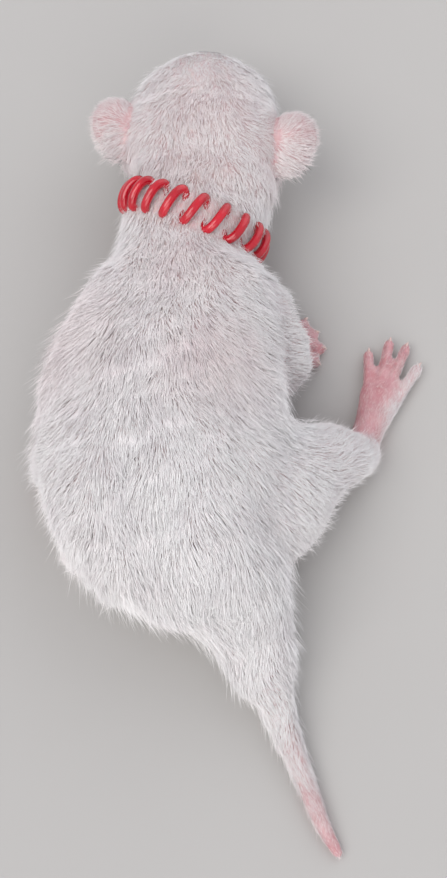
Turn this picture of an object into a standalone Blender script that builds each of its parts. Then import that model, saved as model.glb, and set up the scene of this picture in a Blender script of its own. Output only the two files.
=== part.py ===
"""A kitten about one week old, asleep on its belly, with a spiral coil collar round its neck.

The model is still. +Y points to the head, +X to the kitten's right, +Z is up, and the belly, chin,
feet and tail rest on flats at z = 0. Lengths below are millimetres and become metres when a mesh is
made. The solids reach to the tips of the short coat.
"""

import math

import bmesh
import bpy
import numpy as np
from mathutils import Euler, Matrix, Vector
from mathutils.bvhtree import BVHTree

for old in list(bpy.data.objects):
    bpy.data.objects.remove(old, do_unlink=True)

MM = 0.001
GAP = 0.3

# The middle of the whole footprint, which becomes the model's origin.
MIDDLE = (1.7, 11.2, 0)

# A station of a tube holds centre x, y, z, half-width and half-height.
TRUNK = [
    (-4.9, 57, 16.4, 15.8, 13.8),
    (-5.9, 50, 15.9, 14.9, 13.7),
    (-6.6, 44, 15.5, 15.0, 14.2),
    (-6.6, 36, 15.5, 17.6, 15.6),
    (-8.7, 26, 15.9, 20.8, 16.8),
    (-11.2, 12, 16.4, 23.6, 17.9),
    (-11.0, -2, 16.8, 24.0, 18.4),
    (-8.2, -13, 16.8, 22.6, 18.2),
    (-4.0, -21.5, 15.8, 16.6, 16.6),
    (1.4, -27.5, 12.8, 11.4, 12.8),
    (5.4, -34.5, 8.4, 7.7, 8.2),
    (9.0, -44.7, 5.4, 4.2, 5.0),
]
TAIL = [
    (1.8, -29, 10.5, 9.4, 9.8),
    (5.6, -35.3, 8.3, 7.6, 8.2),
    (6.9, -40.0, 6.4, 6.2, 6.6),
    (9.0, -44.7, 4.7, 4.0, 4.8),
    (11.3, -50.6, 3.2, 2.8, 3.3),
    (12.8, -54.7, 2.4, 2.3, 2.5),
    (15.0, -60.4, 1.8, 1.95, 2.0),
    (17.6, -67.2, 1.4, 1.55, 1.6),
    (20.3, -72.2, 1.0, 1.15, 1.2),
]

# The right hind leg is thrown out to the side and its foot points forward, sole down.
LEG_RIGHT = [
    (0.5, -14, 14, 14.0, 13.5),
    (8.5, -7.5, 12.4, 13.2, 12.4),
    (15.5, -2, 10.4, 9.4, 9.8),
    (20, 0.8, 8.6, 7.2, 7.8),
    (23.5, 2.2, 6.6, 5.8, 6.2),
    (26.0, 3.7, 4.8, 4.4, 4.6),
]
FOOT_RIGHT = [
    (25.8, 3.4, 3.9, 4.1, 4.1),
    (28.2, 8.4, 3.1, 3.2, 3.3),
    (30.3, 14.0, 2.4, 3.8, 2.5),
    (31.6, 18.0, 2.1, 4.5, 2.2),
]
TOES_RIGHT = [
    ((29.0, 17.6), (29.6, 27.4)),
    ((30.9, 18.6), (33.9, 29.9)),
    ((33.0, 18.6), (37.2, 28.9)),
    ((34.8, 17.0), (39.3, 24.2)),
]

# The left hind leg is folded under the flank, with the knee out and the foot forward.
LEG_LEFT = [
    (-15, -18.5, 13.5, 12.0, 12.5),
    (-21.5, -11, 11.6, 10.8, 11.6),
    (-27.6, 0, 8.8, 9.4, 9.4),
]
SHANK_LEFT = [
    (-26.6, -3, 8.0, 7.2, 7.8),
    (-26.0, -11, 5.6, 5.2, 5.8),
    (-26.4, -16.5, 4.2, 4.2, 4.4),
]
FOOT_LEFT = [
    (-27.0, -17.0, 3.7, 3.9, 3.9),
    (-28.6, -11.0, 3.0, 3.2, 3.1),
    (-30.0, -5.0, 2.4, 3.8, 2.5),
    (-30.8, -1.0, 2.1, 4.4, 2.2),
]
TOES_LEFT = [
    ((-33.6, -1.8), (-36.0, 5.2)),
    ((-32.0, -0.6), (-33.6, 8.2)),
    ((-30.2, -0.4), (-30.6, 8.8)),
    ((-28.4, -1.2), (-27.8, 7.0)),
]

ARM_RIGHT = [(3.0, 34, 14, 8.0, 8.6), (8.6, 28.5, 11.4, 7.8, 8.4), (11.0, 22.5, 8.8, 6.4, 7.4)]
FOREARM_RIGHT = [(10.6, 20.5, 7.0, 5.0, 6.0), (11.6, 25, 5.2, 4.2, 4.8), (12.4, 29.2, 3.6, 3.3, 3.6)]
PALM_RIGHT = (13.9, 30.0)
FINGERS_RIGHT = [
    ((14.4, 32.6), (16.6, 35.2)),
    ((15.4, 31.4), (18.6, 32.4)),
    ((15.8, 29.4), (19.8, 29.0)),
    ((15.0, 27.6), (18.6, 25.8)),
]
ARM_LEFT = [(-18.0, 35, 14, 8.0, 8.6), (-22.8, 29, 11.0, 7.0, 7.8), (-24.0, 21.5, 8.4, 5.8, 7.0)]
FOREARM_LEFT = [(-23.6, 20.5, 7.0, 5.0, 6.0), (-22.8, 27, 5.0, 4.2, 4.8), (-21.8, 33.5, 3.6, 3.3, 3.6)]
PALM_LEFT = (-21.4, 36.4)
FINGERS_LEFT = [
    ((-23.6, 37.6), (-25.0, 41.8)),
    ((-22.2, 38.6), (-22.7, 43.4)),
    ((-20.6, 38.6), (-20.2, 43.4)),
    ((-19.2, 37.4), (-17.8, 41.6)),
]
TOES_OF = {
    "hind_foot_right": TOES_RIGHT,
    "hind_foot_left": TOES_LEFT,
    "forepaw_right": FINGERS_RIGHT,
    "forepaw_left": FINGERS_LEFT,
}
TOE = 1.25
FINGER = 1.5
TOE_HIGH = 1.7
CLAW = 2.2
CLAW_SHORT = 1.5

# The skull's own frame has x right, y to the nose and z up, from the middle of the skull.
SKULL = (-4.2, 70.0, 16.2)
SKULL_PITCH = -10
SKULL_YAW = -1
SKULL_BALLS = [
    ((0, -1.5, 1.3), (15.8, 17.0, 13.2)),
    ((0, 5.0, 1.2), (15.2, 15.6, 12.6)),
    ((0, 10.4, 0.4), (13.2, 12.2, 10.6)),
    ((0, 2.0, -8.0), (12.0, 15.0, 8.4)),
    ((0, 12.0, -8.4), (9.8, 10.0, 6.6)),
    ((0, 18.0, -5.6), (8.0, 8.2, 6.0)),
    ((0, 16.6, -1.4), (5.8, 9.0, 5.6)),
    ((0, 24.8, -3.9), (3.1, 2.2, 2.1)),
    ((0, 20.4, -10.0), (4.6, 4.9, 3.1)),
]
CHEEK = ((7.6, 6.0, -4.6), (8.6, 12.0, 8.6))
JOWL = ((7.6, -6.0, -3.0), (8.6, 10.0, 9.6))
MUZZLE_ROOT = ((5.2, 15.6, -6.4), (6.2, 6.6, 5.2))
WHISKER_PAD = ((3.2, 21.6, -6.9), (4.2, 4.4, 3.6))
LID = ((7.8, 14.8, 0.2), (5.0, 5.2, 4.2))
MOUTH = [(0, 27.2, -6.0), (0, 26.8, -7.7), (2.2, 25.9, -8.6), (4.4, 24.0, -9.0), (6.4, 20.8, -8.7)]
LID_SLIT = [(4.4, 20.4, -0.9), (6.4, 19.6, -1.3), (8.8, 18.0, -0.9), (11.2, 14.6, 0.2)]
NOSTRIL = [(1.3, 27.2, -4.1)]

# An ear is a round cup whose root line runs along the side of the skull.
EAR_ROOT = {"left": (-13.0, -2.8, 4.6), "right": (13.6, -6.2, 4.6)}
EAR_OUT = 3.2
EAR_LONG = 6.4
EAR_WIDE = 6.6
EAR_THICK = 1.0
EAR_HOOD = 2.6
EAR_TIP_CURL = 0.5
EAR_LIFT = 0.30
EAR_SWEEP = -0.25
EAR_PITCH = 26

# The collar is a coil of glossy cord closed into a ring that sits half sunk in the coat.
RING = (-5.9, 50.0, 16.2)
RING_YAW = -23
RING_PITCH = 20
RING_WIDE = 13.9
RING_TALL = 13.4
COIL_TURNS = 17
COIL_ACROSS = 2.9
COIL_DEEP = 1.45
CORD = 0.9
NECK_HALF = 5.6

# Each region is a ball that parts a limb from the trunk: centre, half-lengths.
HIP_RIGHT = ((23.5, 1.5, 8.0), (14.0, 15.0, 16.0))
HIP_LEFT = ((-29.5, -8.5, 6.0), (13.0, 19.0, 14.0))
SHOULDER_RIGHT = ((14.5, 26.0, 6.0), (8.5, 13.0, 11.5))
SHOULDER_LEFT = ((-25.0, 27.5, 6.0), (8.0, 14.0, 11.5))

# Each limb is parted at its ankle or wrist by a plane: a point and the way to the toes.
ANKLES = {
    "hind_foot_right": ((23.9, 2.6, 6.4), (0.80, 0.42, -0.42)),
    "forepaw_right": ((11.9, 26.9, 4.4), (0.3, 0.93, -0.2)),
    "forepaw_left": ((-22.5, 30.6, 4.2), (0.1, 0.97, -0.2)),
}
TAIL_WAY = (0.36, -0.93, -0.2)
PALM_TURNS = {"right": -62, "left": 4}

# The grain in millimetres that each body is fused at, and the triangles that it keeps.
BODY_GRAIN, BODY_TRIANGLES = 0.8, 3600
HEAD_GRAIN, HEAD_TRIANGLES, SOFT_HEAD_TRIANGLES = 0.45, 4000, 2600
TAIL_GRAIN, TAIL_TRIANGLES = 0.5, 620
FOOT_GRAIN = 0.34
FOOT_TRIANGLES = {"hind_foot_right": 800, "hind_foot_left": 640, "forepaw_right": 640, "forepaw_left": 560}

# A groove holds its depth and half-width.
MOUTH_GROOVE = (0.9, 0.55)
LID_GROOVE = (0.8, 0.6)
NOSTRIL_GROOVE = (1.1, 0.6)

COATED = ("coat", (0.80, 0.76, 0.74), 0.85)
BARE = ("bare_skin", (0.72, 0.42, 0.40), 0.6)
GLOSSY = ("collar_cord", (0.62, 0.01, 0.03), 0.2)


def flow(stations, steps):
    """Rows on a smooth curve through the stations, a Catmull-Rom spline with its ends mirrored."""
    rows = np.array(stations, float)
    rows = np.vstack([2 * rows[0] - rows[1], rows, 2 * rows[-1] - rows[-2]])
    found = []
    for i in range(1, len(rows) - 2):
        a, b, c, d = rows[i - 1:i + 3]
        for t in np.arange(steps) / steps:
            cubic = (3 * b - a - 3 * c + d) * t**3
            found.append(0.5 * (2 * b + (c - a) * t + (2 * a - 5 * b + 4 * c - d) * t**2 + cubic))
    found.append(rows[-2])
    return np.array(found)


def mesh_of(points, faces):
    """A mesh from points in millimetres, with its faces turned outward."""
    mesh = bpy.data.meshes.new("shape")
    mesh.from_pydata([tuple(p) for p in np.asarray(points, float) * MM], [], faces)
    shape = bmesh.new()
    shape.from_mesh(mesh)
    bmesh.ops.recalc_face_normals(shape, faces=shape.faces)
    shape.to_mesh(mesh)
    shape.free()
    return mesh


def bridged(rings, closed):
    """Faces between rings of equal count, where the rings may close on themselves."""
    sides = len(rings[0])
    faces = []
    for r in range(len(rings) - 1 + closed):
        a, b = r * sides, (r + 1) % len(rings) * sides
        for s in range(sides):
            t = (s + 1) % sides
            faces.append((a + s, a + t, b + t, b + s))
    return faces


def tube(stations, sides=24, steps=5, rounds=3):
    """A round-ended tube whose cross-sections stand square to its path."""
    rows = flow(stations, steps)
    centre, wide, tall = rows[:, :3], rows[:, 3], rows[:, 4]
    along = np.gradient(centre, axis=0)
    along /= np.linalg.norm(along, axis=1)[:, None]
    side = np.cross(along, (0, 0, 1))
    side /= np.linalg.norm(side, axis=1)[:, None]
    rise = np.cross(side, along)
    turn = np.arange(sides) * 2 * math.pi / sides
    bend = [math.pi / 2 * k / (rounds + 1) for k in range(rounds, 0, -1)]
    cuts = [(0, -math.sin(a), math.cos(a)) for a in bend]
    cuts += [(i, 0, 1) for i in range(len(rows))]
    cuts += [(-1, math.sin(a), math.cos(a)) for a in reversed(bend)]
    rings = []
    for i, reach, scale in cuts:
        across = np.outer(np.cos(turn) * wide[i], side[i]) + np.outer(np.sin(turn) * tall[i], rise[i])
        rings.append(centre[i] + along[i] * reach * min(wide[i], tall[i]) + across * scale)
    points = [p for ring in rings for p in ring]
    faces = bridged(rings, False)
    for i, direction, base in ((0, -1, 0), (-1, 1, len(points) - sides)):
        tip = len(points)
        points.append(centre[i] + along[i] * direction * min(wide[i], tall[i]))
        faces += [(tip, base + (s + 1) % sides, base + s) for s in range(sides)]
    return mesh_of(points, faces)


def ball(centre, semi, turn=0, fine=3):
    """An ellipsoid, turned about the vertical by degrees."""
    mesh = bpy.data.meshes.new("ball")
    shape = bmesh.new()
    bmesh.ops.create_icosphere(shape, subdivisions=fine, radius=1)
    size = Matrix.Diagonal((*[s * MM for s in semi], 1))
    place = Matrix.Translation(Vector(centre) * MM) @ Matrix.Rotation(math.radians(turn), 4, "Z")
    bmesh.ops.transform(shape, matrix=place @ size, verts=shape.verts)
    shape.to_mesh(mesh)
    shape.free()
    return mesh


def show(mesh, name="shape"):
    obj = bpy.data.objects.new(name, mesh)
    bpy.context.scene.collection.objects.link(obj)
    return obj


def joined(meshes):
    """One object that holds all these meshes, still overlapping."""
    shape = bmesh.new()
    for mesh in meshes:
        shape.from_mesh(mesh)
    whole = bpy.data.meshes.new("whole")
    shape.to_mesh(whole)
    shape.free()
    return show(whole)


def applied(obj):
    """Bakes an object's modifiers into its mesh."""
    seen = obj.evaluated_get(bpy.context.evaluated_depsgraph_get())
    mesh = bpy.data.meshes.new_from_object(seen)
    obj.modifiers.clear()
    obj.data = mesh
    return obj


def fused(meshes, voxel, smooth):
    """One smooth closed body out of overlapping meshes."""
    obj = joined(meshes)
    skin = obj.modifiers.new("fuse", "REMESH")
    skin.mode = "VOXEL"
    skin.voxel_size = voxel * MM
    soft = obj.modifiers.new("soften", "SMOOTH")
    soft.factor = 0.5
    soft.iterations = smooth
    return applied(obj)


def thinned(obj, triangles):
    """The same body with about the number of triangles given."""
    thin = obj.modifiers.new("thin", "DECIMATE")
    thin.ratio = triangles / sum(len(p.vertices) - 2 for p in obj.data.polygons)
    return applied(obj)


def copied(obj, grow=0):
    """A copy of an object, with its surface moved out by millimetres."""
    other = show(obj.data.copy())
    if grow:
        count = len(other.data.vertices)
        at, out = np.empty(count * 3), np.empty(count * 3)
        other.data.vertices.foreach_get("co", at)
        other.data.vertices.foreach_get("normal", out)
        other.data.vertices.foreach_set("co", at + out * grow * MM)
        other.data.update()
    return other


def largest(obj):
    """Keeps only the closed surface that holds the most volume."""
    shape = bmesh.new()
    shape.from_mesh(obj.data)
    shape.verts.ensure_lookup_table()
    unseen = set(range(len(shape.verts)))
    groups = []
    while unseen:
        edge = [unseen.pop()]
        group = set(edge)
        while edge:
            for link in shape.verts[edge.pop()].link_edges:
                for vert in link.verts:
                    if vert.index in unseen:
                        unseen.discard(vert.index)
                        group.add(vert.index)
                        edge.append(vert.index)
        groups.append(group)
    spans = [np.ptp([shape.verts[i].co[:] for i in group], axis=0).prod() for group in groups]
    kept = groups[int(np.argmax(spans))]
    gone = [vert for vert in shape.verts if vert.index not in kept]
    bmesh.ops.delete(shape, geom=gone, context="VERTS")
    shape.to_mesh(obj.data)
    shape.free()
    return obj


def cut(obj, tool, operation="DIFFERENCE"):
    """Cuts an object by a tool object, or keeps what they share, and removes the tool."""
    knife = obj.modifiers.new("cut", "BOOLEAN")
    knife.operation = operation
    knife.solver = "EXACT"
    knife.object = tool
    applied(obj)
    bpy.data.objects.remove(tool, do_unlink=True)
    return largest(obj)


def half_space(point, normal, side=1):
    """A big block with one face on the plane, on the side the normal points to or the other."""
    mesh = bpy.data.meshes.new("block")
    shape = bmesh.new()
    bmesh.ops.create_cube(shape, size=0.4)
    turn = Vector(normal).to_track_quat("Z", "Y").to_matrix().to_4x4()
    place = Matrix.Translation(Vector(point) * MM) @ turn @ Matrix.Translation((0, 0, 0.2 * side))
    bmesh.ops.transform(shape, matrix=place, verts=shape.verts)
    shape.to_mesh(mesh)
    shape.free()
    return show(mesh)


def parted(obj, point, normal):
    """Two bodies on either side of a plane: the one behind it and the one ahead of it."""
    unit = Vector(normal).normalized()
    ahead = cut(copied(obj), half_space(Vector(point) + unit * GAP / 2, unit, -1))
    behind = cut(obj, half_space(Vector(point) - unit * GAP / 2, unit, 1))
    return behind, ahead


def region(place, grow=0):
    """A ball-shaped region, grown by millimetres."""
    centre, semi = place
    return show(ball(centre, [s + grow for s in semi], fine=3))


def skull_place():
    """The placement of the skull's own frame."""
    turn = Euler((math.radians(SKULL_PITCH), 0, 0)).to_matrix().to_4x4()
    return Matrix.Translation(Vector(SKULL) * MM) @ Matrix.Rotation(math.radians(SKULL_YAW), 4, "Z") @ turn


def skull_balls():
    """The ellipsoids that the head is fused from, both cheeks included."""
    rows = list(SKULL_BALLS)
    for centre, semi in (CHEEK, JOWL, MUZZLE_ROOT, WHISKER_PAD, LID):
        rows += [(centre, semi), ((-centre[0], centre[1], centre[2]), semi)]
    meshes = []
    for centre, semi in rows:
        mesh = ball(centre, semi)
        mesh.transform(skull_place())
        meshes.append(mesh)
    return meshes


def groove(obj, path, depth, width):
    """Presses a soft groove into the skin along a path given in the skull's frame, on both sides."""
    tree = BVHTree.FromObject(obj, bpy.context.evaluated_depsgraph_get())
    count = len(obj.data.vertices)
    at, out = np.empty(count * 3), np.empty(count * 3)
    obj.data.vertices.foreach_get("co", at)
    obj.data.vertices.foreach_get("normal", out)
    at, out = at.reshape(-1, 3), out.reshape(-1, 3)
    route = flow(path, 6) if len(path) > 1 else np.array(path, float)
    near = np.full(count, 1.0)
    for flip in (1, -1):
        seats = [tree.find_nearest(skull_place() @ (Vector((flip * x, y, z)) * MM))[0] for x, y, z in route]
        for seat in seats:
            near = np.minimum(near, np.linalg.norm(at - np.array(seat), axis=1))
    press = depth * MM * np.exp(-(near / (width * MM)) ** 2)
    obj.data.vertices.foreach_set("co", (at - out * press[:, None]).ravel())
    obj.data.update()


def ring_place():
    """The placement of the collar's ring, whose own Z runs along the neck."""
    lean = Euler((math.radians(RING_PITCH - 90), 0, 0)).to_matrix().to_4x4()
    return Matrix.Translation(Vector(RING) * MM) @ Matrix.Rotation(math.radians(RING_YAW), 4, "Z") @ lean


def neck_axis():
    return ring_place().to_3x3() @ Vector((0, 0, 1))


def make_collar():
    """The coil: a helix wound on an oval ring, closed into one loop of cord."""
    steps = COIL_TURNS * 8
    turn = np.arange(steps) * 2 * math.pi / steps
    wind = turn * COIL_TURNS + 0.9 * np.sin(3 * turn) + 0.6 * np.sin(2 * turn + 1)
    flat = np.stack([np.cos(turn), np.sin(turn), 0 * turn], axis=1)
    centre = flat * (RING_WIDE, RING_TALL, 0)
    out = flat * (RING_TALL, RING_WIDE, 0)
    out /= np.linalg.norm(out, axis=1)[:, None]
    cord = centre + out * (COIL_DEEP * np.cos(wind))[:, None]
    cord[:, 2] = COIL_ACROSS * np.sin(wind)
    along = np.roll(cord, -1, axis=0) - np.roll(cord, 1, axis=0)
    along /= np.linalg.norm(along, axis=1)[:, None]
    side = np.cross(along, cord - centre)
    side /= np.linalg.norm(side, axis=1)[:, None]
    rise = np.cross(side, along)
    around = np.arange(6) * math.pi / 3
    rings = [cord[i] + CORD * (np.outer(np.cos(around), side[i]) + np.outer(np.sin(around), rise[i]))
             for i in range(steps)]
    mesh = mesh_of([p for ring in rings for p in ring], bridged(rings, True))
    mesh.transform(ring_place())
    return show(mesh)


def collar_groove():
    """The oval ring-shaped hollow that the coil lies in."""
    turn = np.arange(36) * 2 * math.pi / 36
    around = np.arange(8) * 2 * math.pi / 8
    deep, across = COIL_DEEP + CORD + GAP, COIL_ACROSS + CORD + GAP
    rings = []
    for t in turn:
        out = np.array([math.cos(t), math.sin(t), 0])
        centre = out * (RING_WIDE, RING_TALL, 0)
        section = np.outer(np.cos(around) * deep, out) + np.outer(np.sin(around) * across, (0, 0, 1))
        rings.append(centre + section)
    mesh = mesh_of([p for ring in rings for p in ring], bridged(rings, True))
    mesh.transform(ring_place())
    return show(mesh)


def make_ear(side, skull):
    """A cupped ear: a round leaf with a curled rim, tipped up in front, trimmed where it meets the skull."""
    rings, around = 5, 22
    points, faces = [(EAR_OUT, 0, EAR_LIFT * EAR_OUT)], []
    for r in range(1, rings + 1):
        size = r / rings
        for c in range(around):
            angle = 2 * math.pi * c / around
            x = EAR_OUT + EAR_LONG * size * math.cos(angle)
            y = EAR_WIDE * size * math.sin(angle)
            curl = EAR_HOOD * size ** 3 * (1 + EAR_TIP_CURL * max(0, math.cos(angle)))
            points.append((x, y - EAR_SWEEP * x, EAR_LIFT * x - curl))
    for c in range(around):
        d = (c + 1) % around
        faces.append((0, 1 + c, 1 + d))
        for r in range(rings - 1):
            inner, outer = 1 + r * around, 1 + (r + 1) * around
            faces.append((inner + c, outer + c, outer + d, inner + d))
    mesh = bpy.data.meshes.new("ear")
    mesh.from_pydata([Vector(p) * MM for p in points], [], faces)
    mesh.transform(Matrix.Rotation(math.radians(EAR_PITCH), 4, "X"))
    if side == "left":
        mesh.transform(Matrix.Diagonal((-1, 1, 1, 1)))
    mesh.transform(skull_place() @ Matrix.Translation(Vector(EAR_ROOT[side]) * MM))
    obj = show(mesh)
    thick = obj.modifiers.new("thickness", "SOLIDIFY")
    thick.thickness = EAR_THICK * MM
    thick.offset = 0
    applied(obj)
    shape = bmesh.new()
    shape.from_mesh(obj.data)
    bmesh.ops.recalc_face_normals(shape, faces=shape.faces)
    shape.to_mesh(obj.data)
    shape.free()
    return cut(obj, copied(skull, GAP))


def toe_shapes(toes, radius):
    """A toe and its pad for each pair of root and tip."""
    meshes = []
    for root, tip in toes:
        (x, y), (u, v) = root, tip
        path = [(x, y, TOE_HIGH + 0.6), ((x + u) / 2, (y + v) / 2, TOE_HIGH + 0.5), (u, v, TOE_HIGH - 0.1)]
        sizes = [(radius * 1.05, radius * 1.1), (radius * 0.95, radius * 1.1), (radius, radius * 0.95)]
        meshes.append(tube([(*p, *s) for p, s in zip(path, sizes)], sides=14, steps=3))
        lean = math.degrees(math.atan2(x - u, v - y))
        middle = (u + (x - u) * 0.12, v + (y - v) * 0.12, 0.75)
        meshes.append(ball(middle, (radius * 0.95, radius * 1.25, 0.95), lean))
    return meshes


def claws(toes, reach):
    """A small curved claw at each toe's tip, its root sunk in the toe."""
    parts = []
    for (x, y), (u, v) in toes:
        length = math.hypot(u - x, v - y)
        dx, dy = (u - x) / length, (v - y) / length
        path = [(0, 2.1, 0.5), (reach * 0.55, 2.0, 0.4), (reach, 1.3, 0.14)]
        rows = [(u + dx * s, v + dy * s, z, r, r) for s, z, r in path]
        parts.append(show(tube(rows, sides=6, steps=1, rounds=0)))
    return parts


def united(obj, parts):
    """One union of an object with a collection of closed pieces."""
    group = bpy.data.collections.new("pieces")
    for part in parts:
        group.objects.link(part)
    weld = obj.modifiers.new("weld", "BOOLEAN")
    weld.operation = "UNION"
    weld.solver = "EXACT"
    weld.operand_type = "COLLECTION"
    weld.collection = group
    applied(obj)
    for part in parts:
        bpy.data.objects.remove(part, do_unlink=True)
    bpy.data.collections.remove(group)
    return largest(obj)


def make_hind_foot(leg, foot, toes):
    """A flat hind foot with four long toes, its heel, and the end of the leg it grows from."""
    x, y, z = foot[2][:3]
    dx, dy = foot[3][0] - foot[1][0], foot[3][1] - foot[1][1]
    lean = math.degrees(math.atan2(-dx, dy))
    sole = ball((x + dx * 0.25, y + dy * 0.25, 0.9), (3.2, 3.0, 1.1), lean)
    shank = [tube(leg)] if leg else []
    return fused(shank + [tube(foot), sole] + toe_shapes(toes, TOE), FOOT_GRAIN, 4)


def make_forepaw(forearm, palm, fingers, turn):
    """A small round forepaw with four short toes, and the end of the forearm it grows from."""
    pad = ball((*palm, 2.9), (4.1, 4.3, 2.7), turn)
    sole = ball((*palm, 1.0), (2.8, 2.6, 1.2), turn)
    return fused([tube(forearm), pad, sole] + toe_shapes(fingers, FINGER), FOOT_GRAIN, 4)


def on_floor(obj):
    """Cuts off what would sink below the floor, which leaves the flat that it rests on."""
    return cut(obj, half_space((0, 0, 0), (0, 0, 1), -1))


def seated(obj, point, parent):
    """Puts an object's own origin at its root and hangs it from the parent, about the model's middle."""
    obj.data.transform(Matrix.Translation(-Vector(point) * MM))
    obj.location = (Vector(point) - Vector(MIDDLE)) * MM
    obj.parent = parent


def coloured(obj, finish):
    """Gives an object its own material."""
    slot, colour, rough = finish
    material = bpy.data.materials.new(f"{obj.name}_{slot}")
    material.use_nodes = True
    shader = material.node_tree.nodes["Principled BSDF"]
    shader.inputs["Base Color"].default_value = (*colour, 1)
    shader.inputs["Roughness"].default_value = rough
    shader.inputs["Metallic"].default_value = 0
    obj.data.materials.clear()
    obj.data.materials.append(material)


def build():
    body_shapes = [tube(rows) for rows in (TRUNK, LEG_RIGHT, LEG_LEFT, SHANK_LEFT)]
    body_shapes += [tube(rows) for rows in (ARM_RIGHT, FOREARM_RIGHT, ARM_LEFT, FOREARM_LEFT)]
    body = thinned(fused(body_shapes + skull_balls(), BODY_GRAIN, 12), BODY_TRIANGLES)

    head = fused(skull_balls() + [tube(TRUNK[:4])], HEAD_GRAIN, 16)
    soft_head = thinned(copied(head), SOFT_HEAD_TRIANGLES)
    groove(head, MOUTH, *MOUTH_GROOVE)
    groove(head, LID_SLIT, *LID_GROOVE)
    groove(head, NOSTRIL, *NOSTRIL_GROOVE)
    head = thinned(head, HEAD_TRIANGLES)

    axis = neck_axis()
    back, front = Vector(RING) - axis * NECK_HALF, Vector(RING) + axis * NECK_HALF
    body, ahead = parted(body, back, axis)
    neck, spare = parted(ahead, front, axis)
    bpy.data.objects.remove(spare, do_unlink=True)
    spare, head = parted(head, front, axis)
    bpy.data.objects.remove(spare, do_unlink=True)
    neck = cut(neck, collar_groove())

    tail = thinned(fused([tube(TAIL)], TAIL_GRAIN, 3), TAIL_TRIANGLES)
    spare, tail = parted(tail, TAIL[1][:3], TAIL_WAY)
    bpy.data.objects.remove(spare, do_unlink=True)
    body, spare = parted(body, TAIL[1][:3], TAIL_WAY)
    bpy.data.objects.remove(spare, do_unlink=True)

    nodes = {"head": head, "neck": neck, "collar": make_collar(), "tail": tail}
    for side in ("left", "right"):
        nodes[f"ear_{side}"] = make_ear(side, soft_head)
    bpy.data.objects.remove(soft_head, do_unlink=True)

    feet = {
        "hind_foot_right": make_hind_foot(LEG_RIGHT[3:], FOOT_RIGHT, TOES_RIGHT),
        "hind_foot_left": make_hind_foot([], FOOT_LEFT, TOES_LEFT),
        "forepaw_right": make_forepaw(FOREARM_RIGHT, PALM_RIGHT, FINGERS_RIGHT, PALM_TURNS["right"]),
        "forepaw_left": make_forepaw(FOREARM_LEFT, PALM_LEFT, FINGERS_LEFT, PALM_TURNS["left"]),
    }
    for name, foot in feet.items():
        reach = CLAW if "hind" in name else CLAW_SHORT + FINGER - TOE
        feet[name] = united(thinned(foot, FOOT_TRIANGLES[name]), claws(TOES_OF[name], reach))
    for name, ankle in ANKLES.items():
        spare, feet[name] = parted(feet[name], *ankle)
        bpy.data.objects.remove(spare, do_unlink=True)

    limbs = {
        "hind_leg_right": (HIP_RIGHT, "hind_foot_right"),
        "hind_leg_left": (HIP_LEFT, "hind_foot_left"),
        "foreleg_right": (SHOULDER_RIGHT, "forepaw_right"),
        "foreleg_left": (SHOULDER_LEFT, "forepaw_left"),
    }
    for name, (place, foot) in limbs.items():
        limb = cut(copied(body), region(place), "INTERSECT")
        body = cut(body, region(place, GAP))
        if foot in ANKLES:
            limb, spare = parted(limb, *ANKLES[foot])
            bpy.data.objects.remove(spare, do_unlink=True)
        nodes[name] = cut(limb, copied(feet[foot], GAP))
        body = cut(body, copied(feet[foot], GAP))
        nodes[foot] = feet[foot]
    nodes["torso"] = body

    seats = {
        "head": front, "neck": RING, "collar": RING, "torso": TRUNK[6][:3], "tail": TAIL[1][:3],
        "hind_leg_right": LEG_RIGHT[1][:3], "hind_leg_left": LEG_LEFT[0][:3],
        "hind_foot_right": FOOT_RIGHT[0][:3], "hind_foot_left": FOOT_LEFT[0][:3],
        "foreleg_right": ARM_RIGHT[1][:3], "foreleg_left": ARM_LEFT[1][:3],
        "forepaw_right": FOREARM_RIGHT[2][:3], "forepaw_left": FOREARM_LEFT[2][:3],
    }
    for side in ("left", "right"):
        seats[f"ear_{side}"] = skull_place() @ (Vector(EAR_ROOT[side]) * MM) / MM
    kitten = bpy.data.objects.new("kitten", None)
    bpy.context.scene.collection.objects.link(kitten)
    for name, obj in nodes.items():
        if name not in ("collar", "ear_left", "ear_right"):
            on_floor(obj)
        obj.name = name
        obj.data.name = name
        bare = "foot" in name or "paw" in name or "ear" in name
        coloured(obj, GLOSSY if name == "collar" else BARE if bare else COATED)
        obj.data.shade_smooth()
        seated(obj, seats[name], kitten)


build()
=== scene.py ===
"""The looks of a sleeping week-old kitten with a coil collar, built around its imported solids.

One skin is melted together from the solids of flesh and drawn in by the depth of the coat. Short tufts
of solid mesh grow from it along the lie of the coat, and claws, whiskers and the coil are separate.
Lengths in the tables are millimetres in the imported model's frame, and become metres in a mesh.
"""

import math

import bmesh
import bpy
import numpy as np
from bpy.props import FloatProperty, FloatVectorProperty, IntProperty, PointerProperty
from mathutils import Euler, Matrix, Vector


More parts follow.
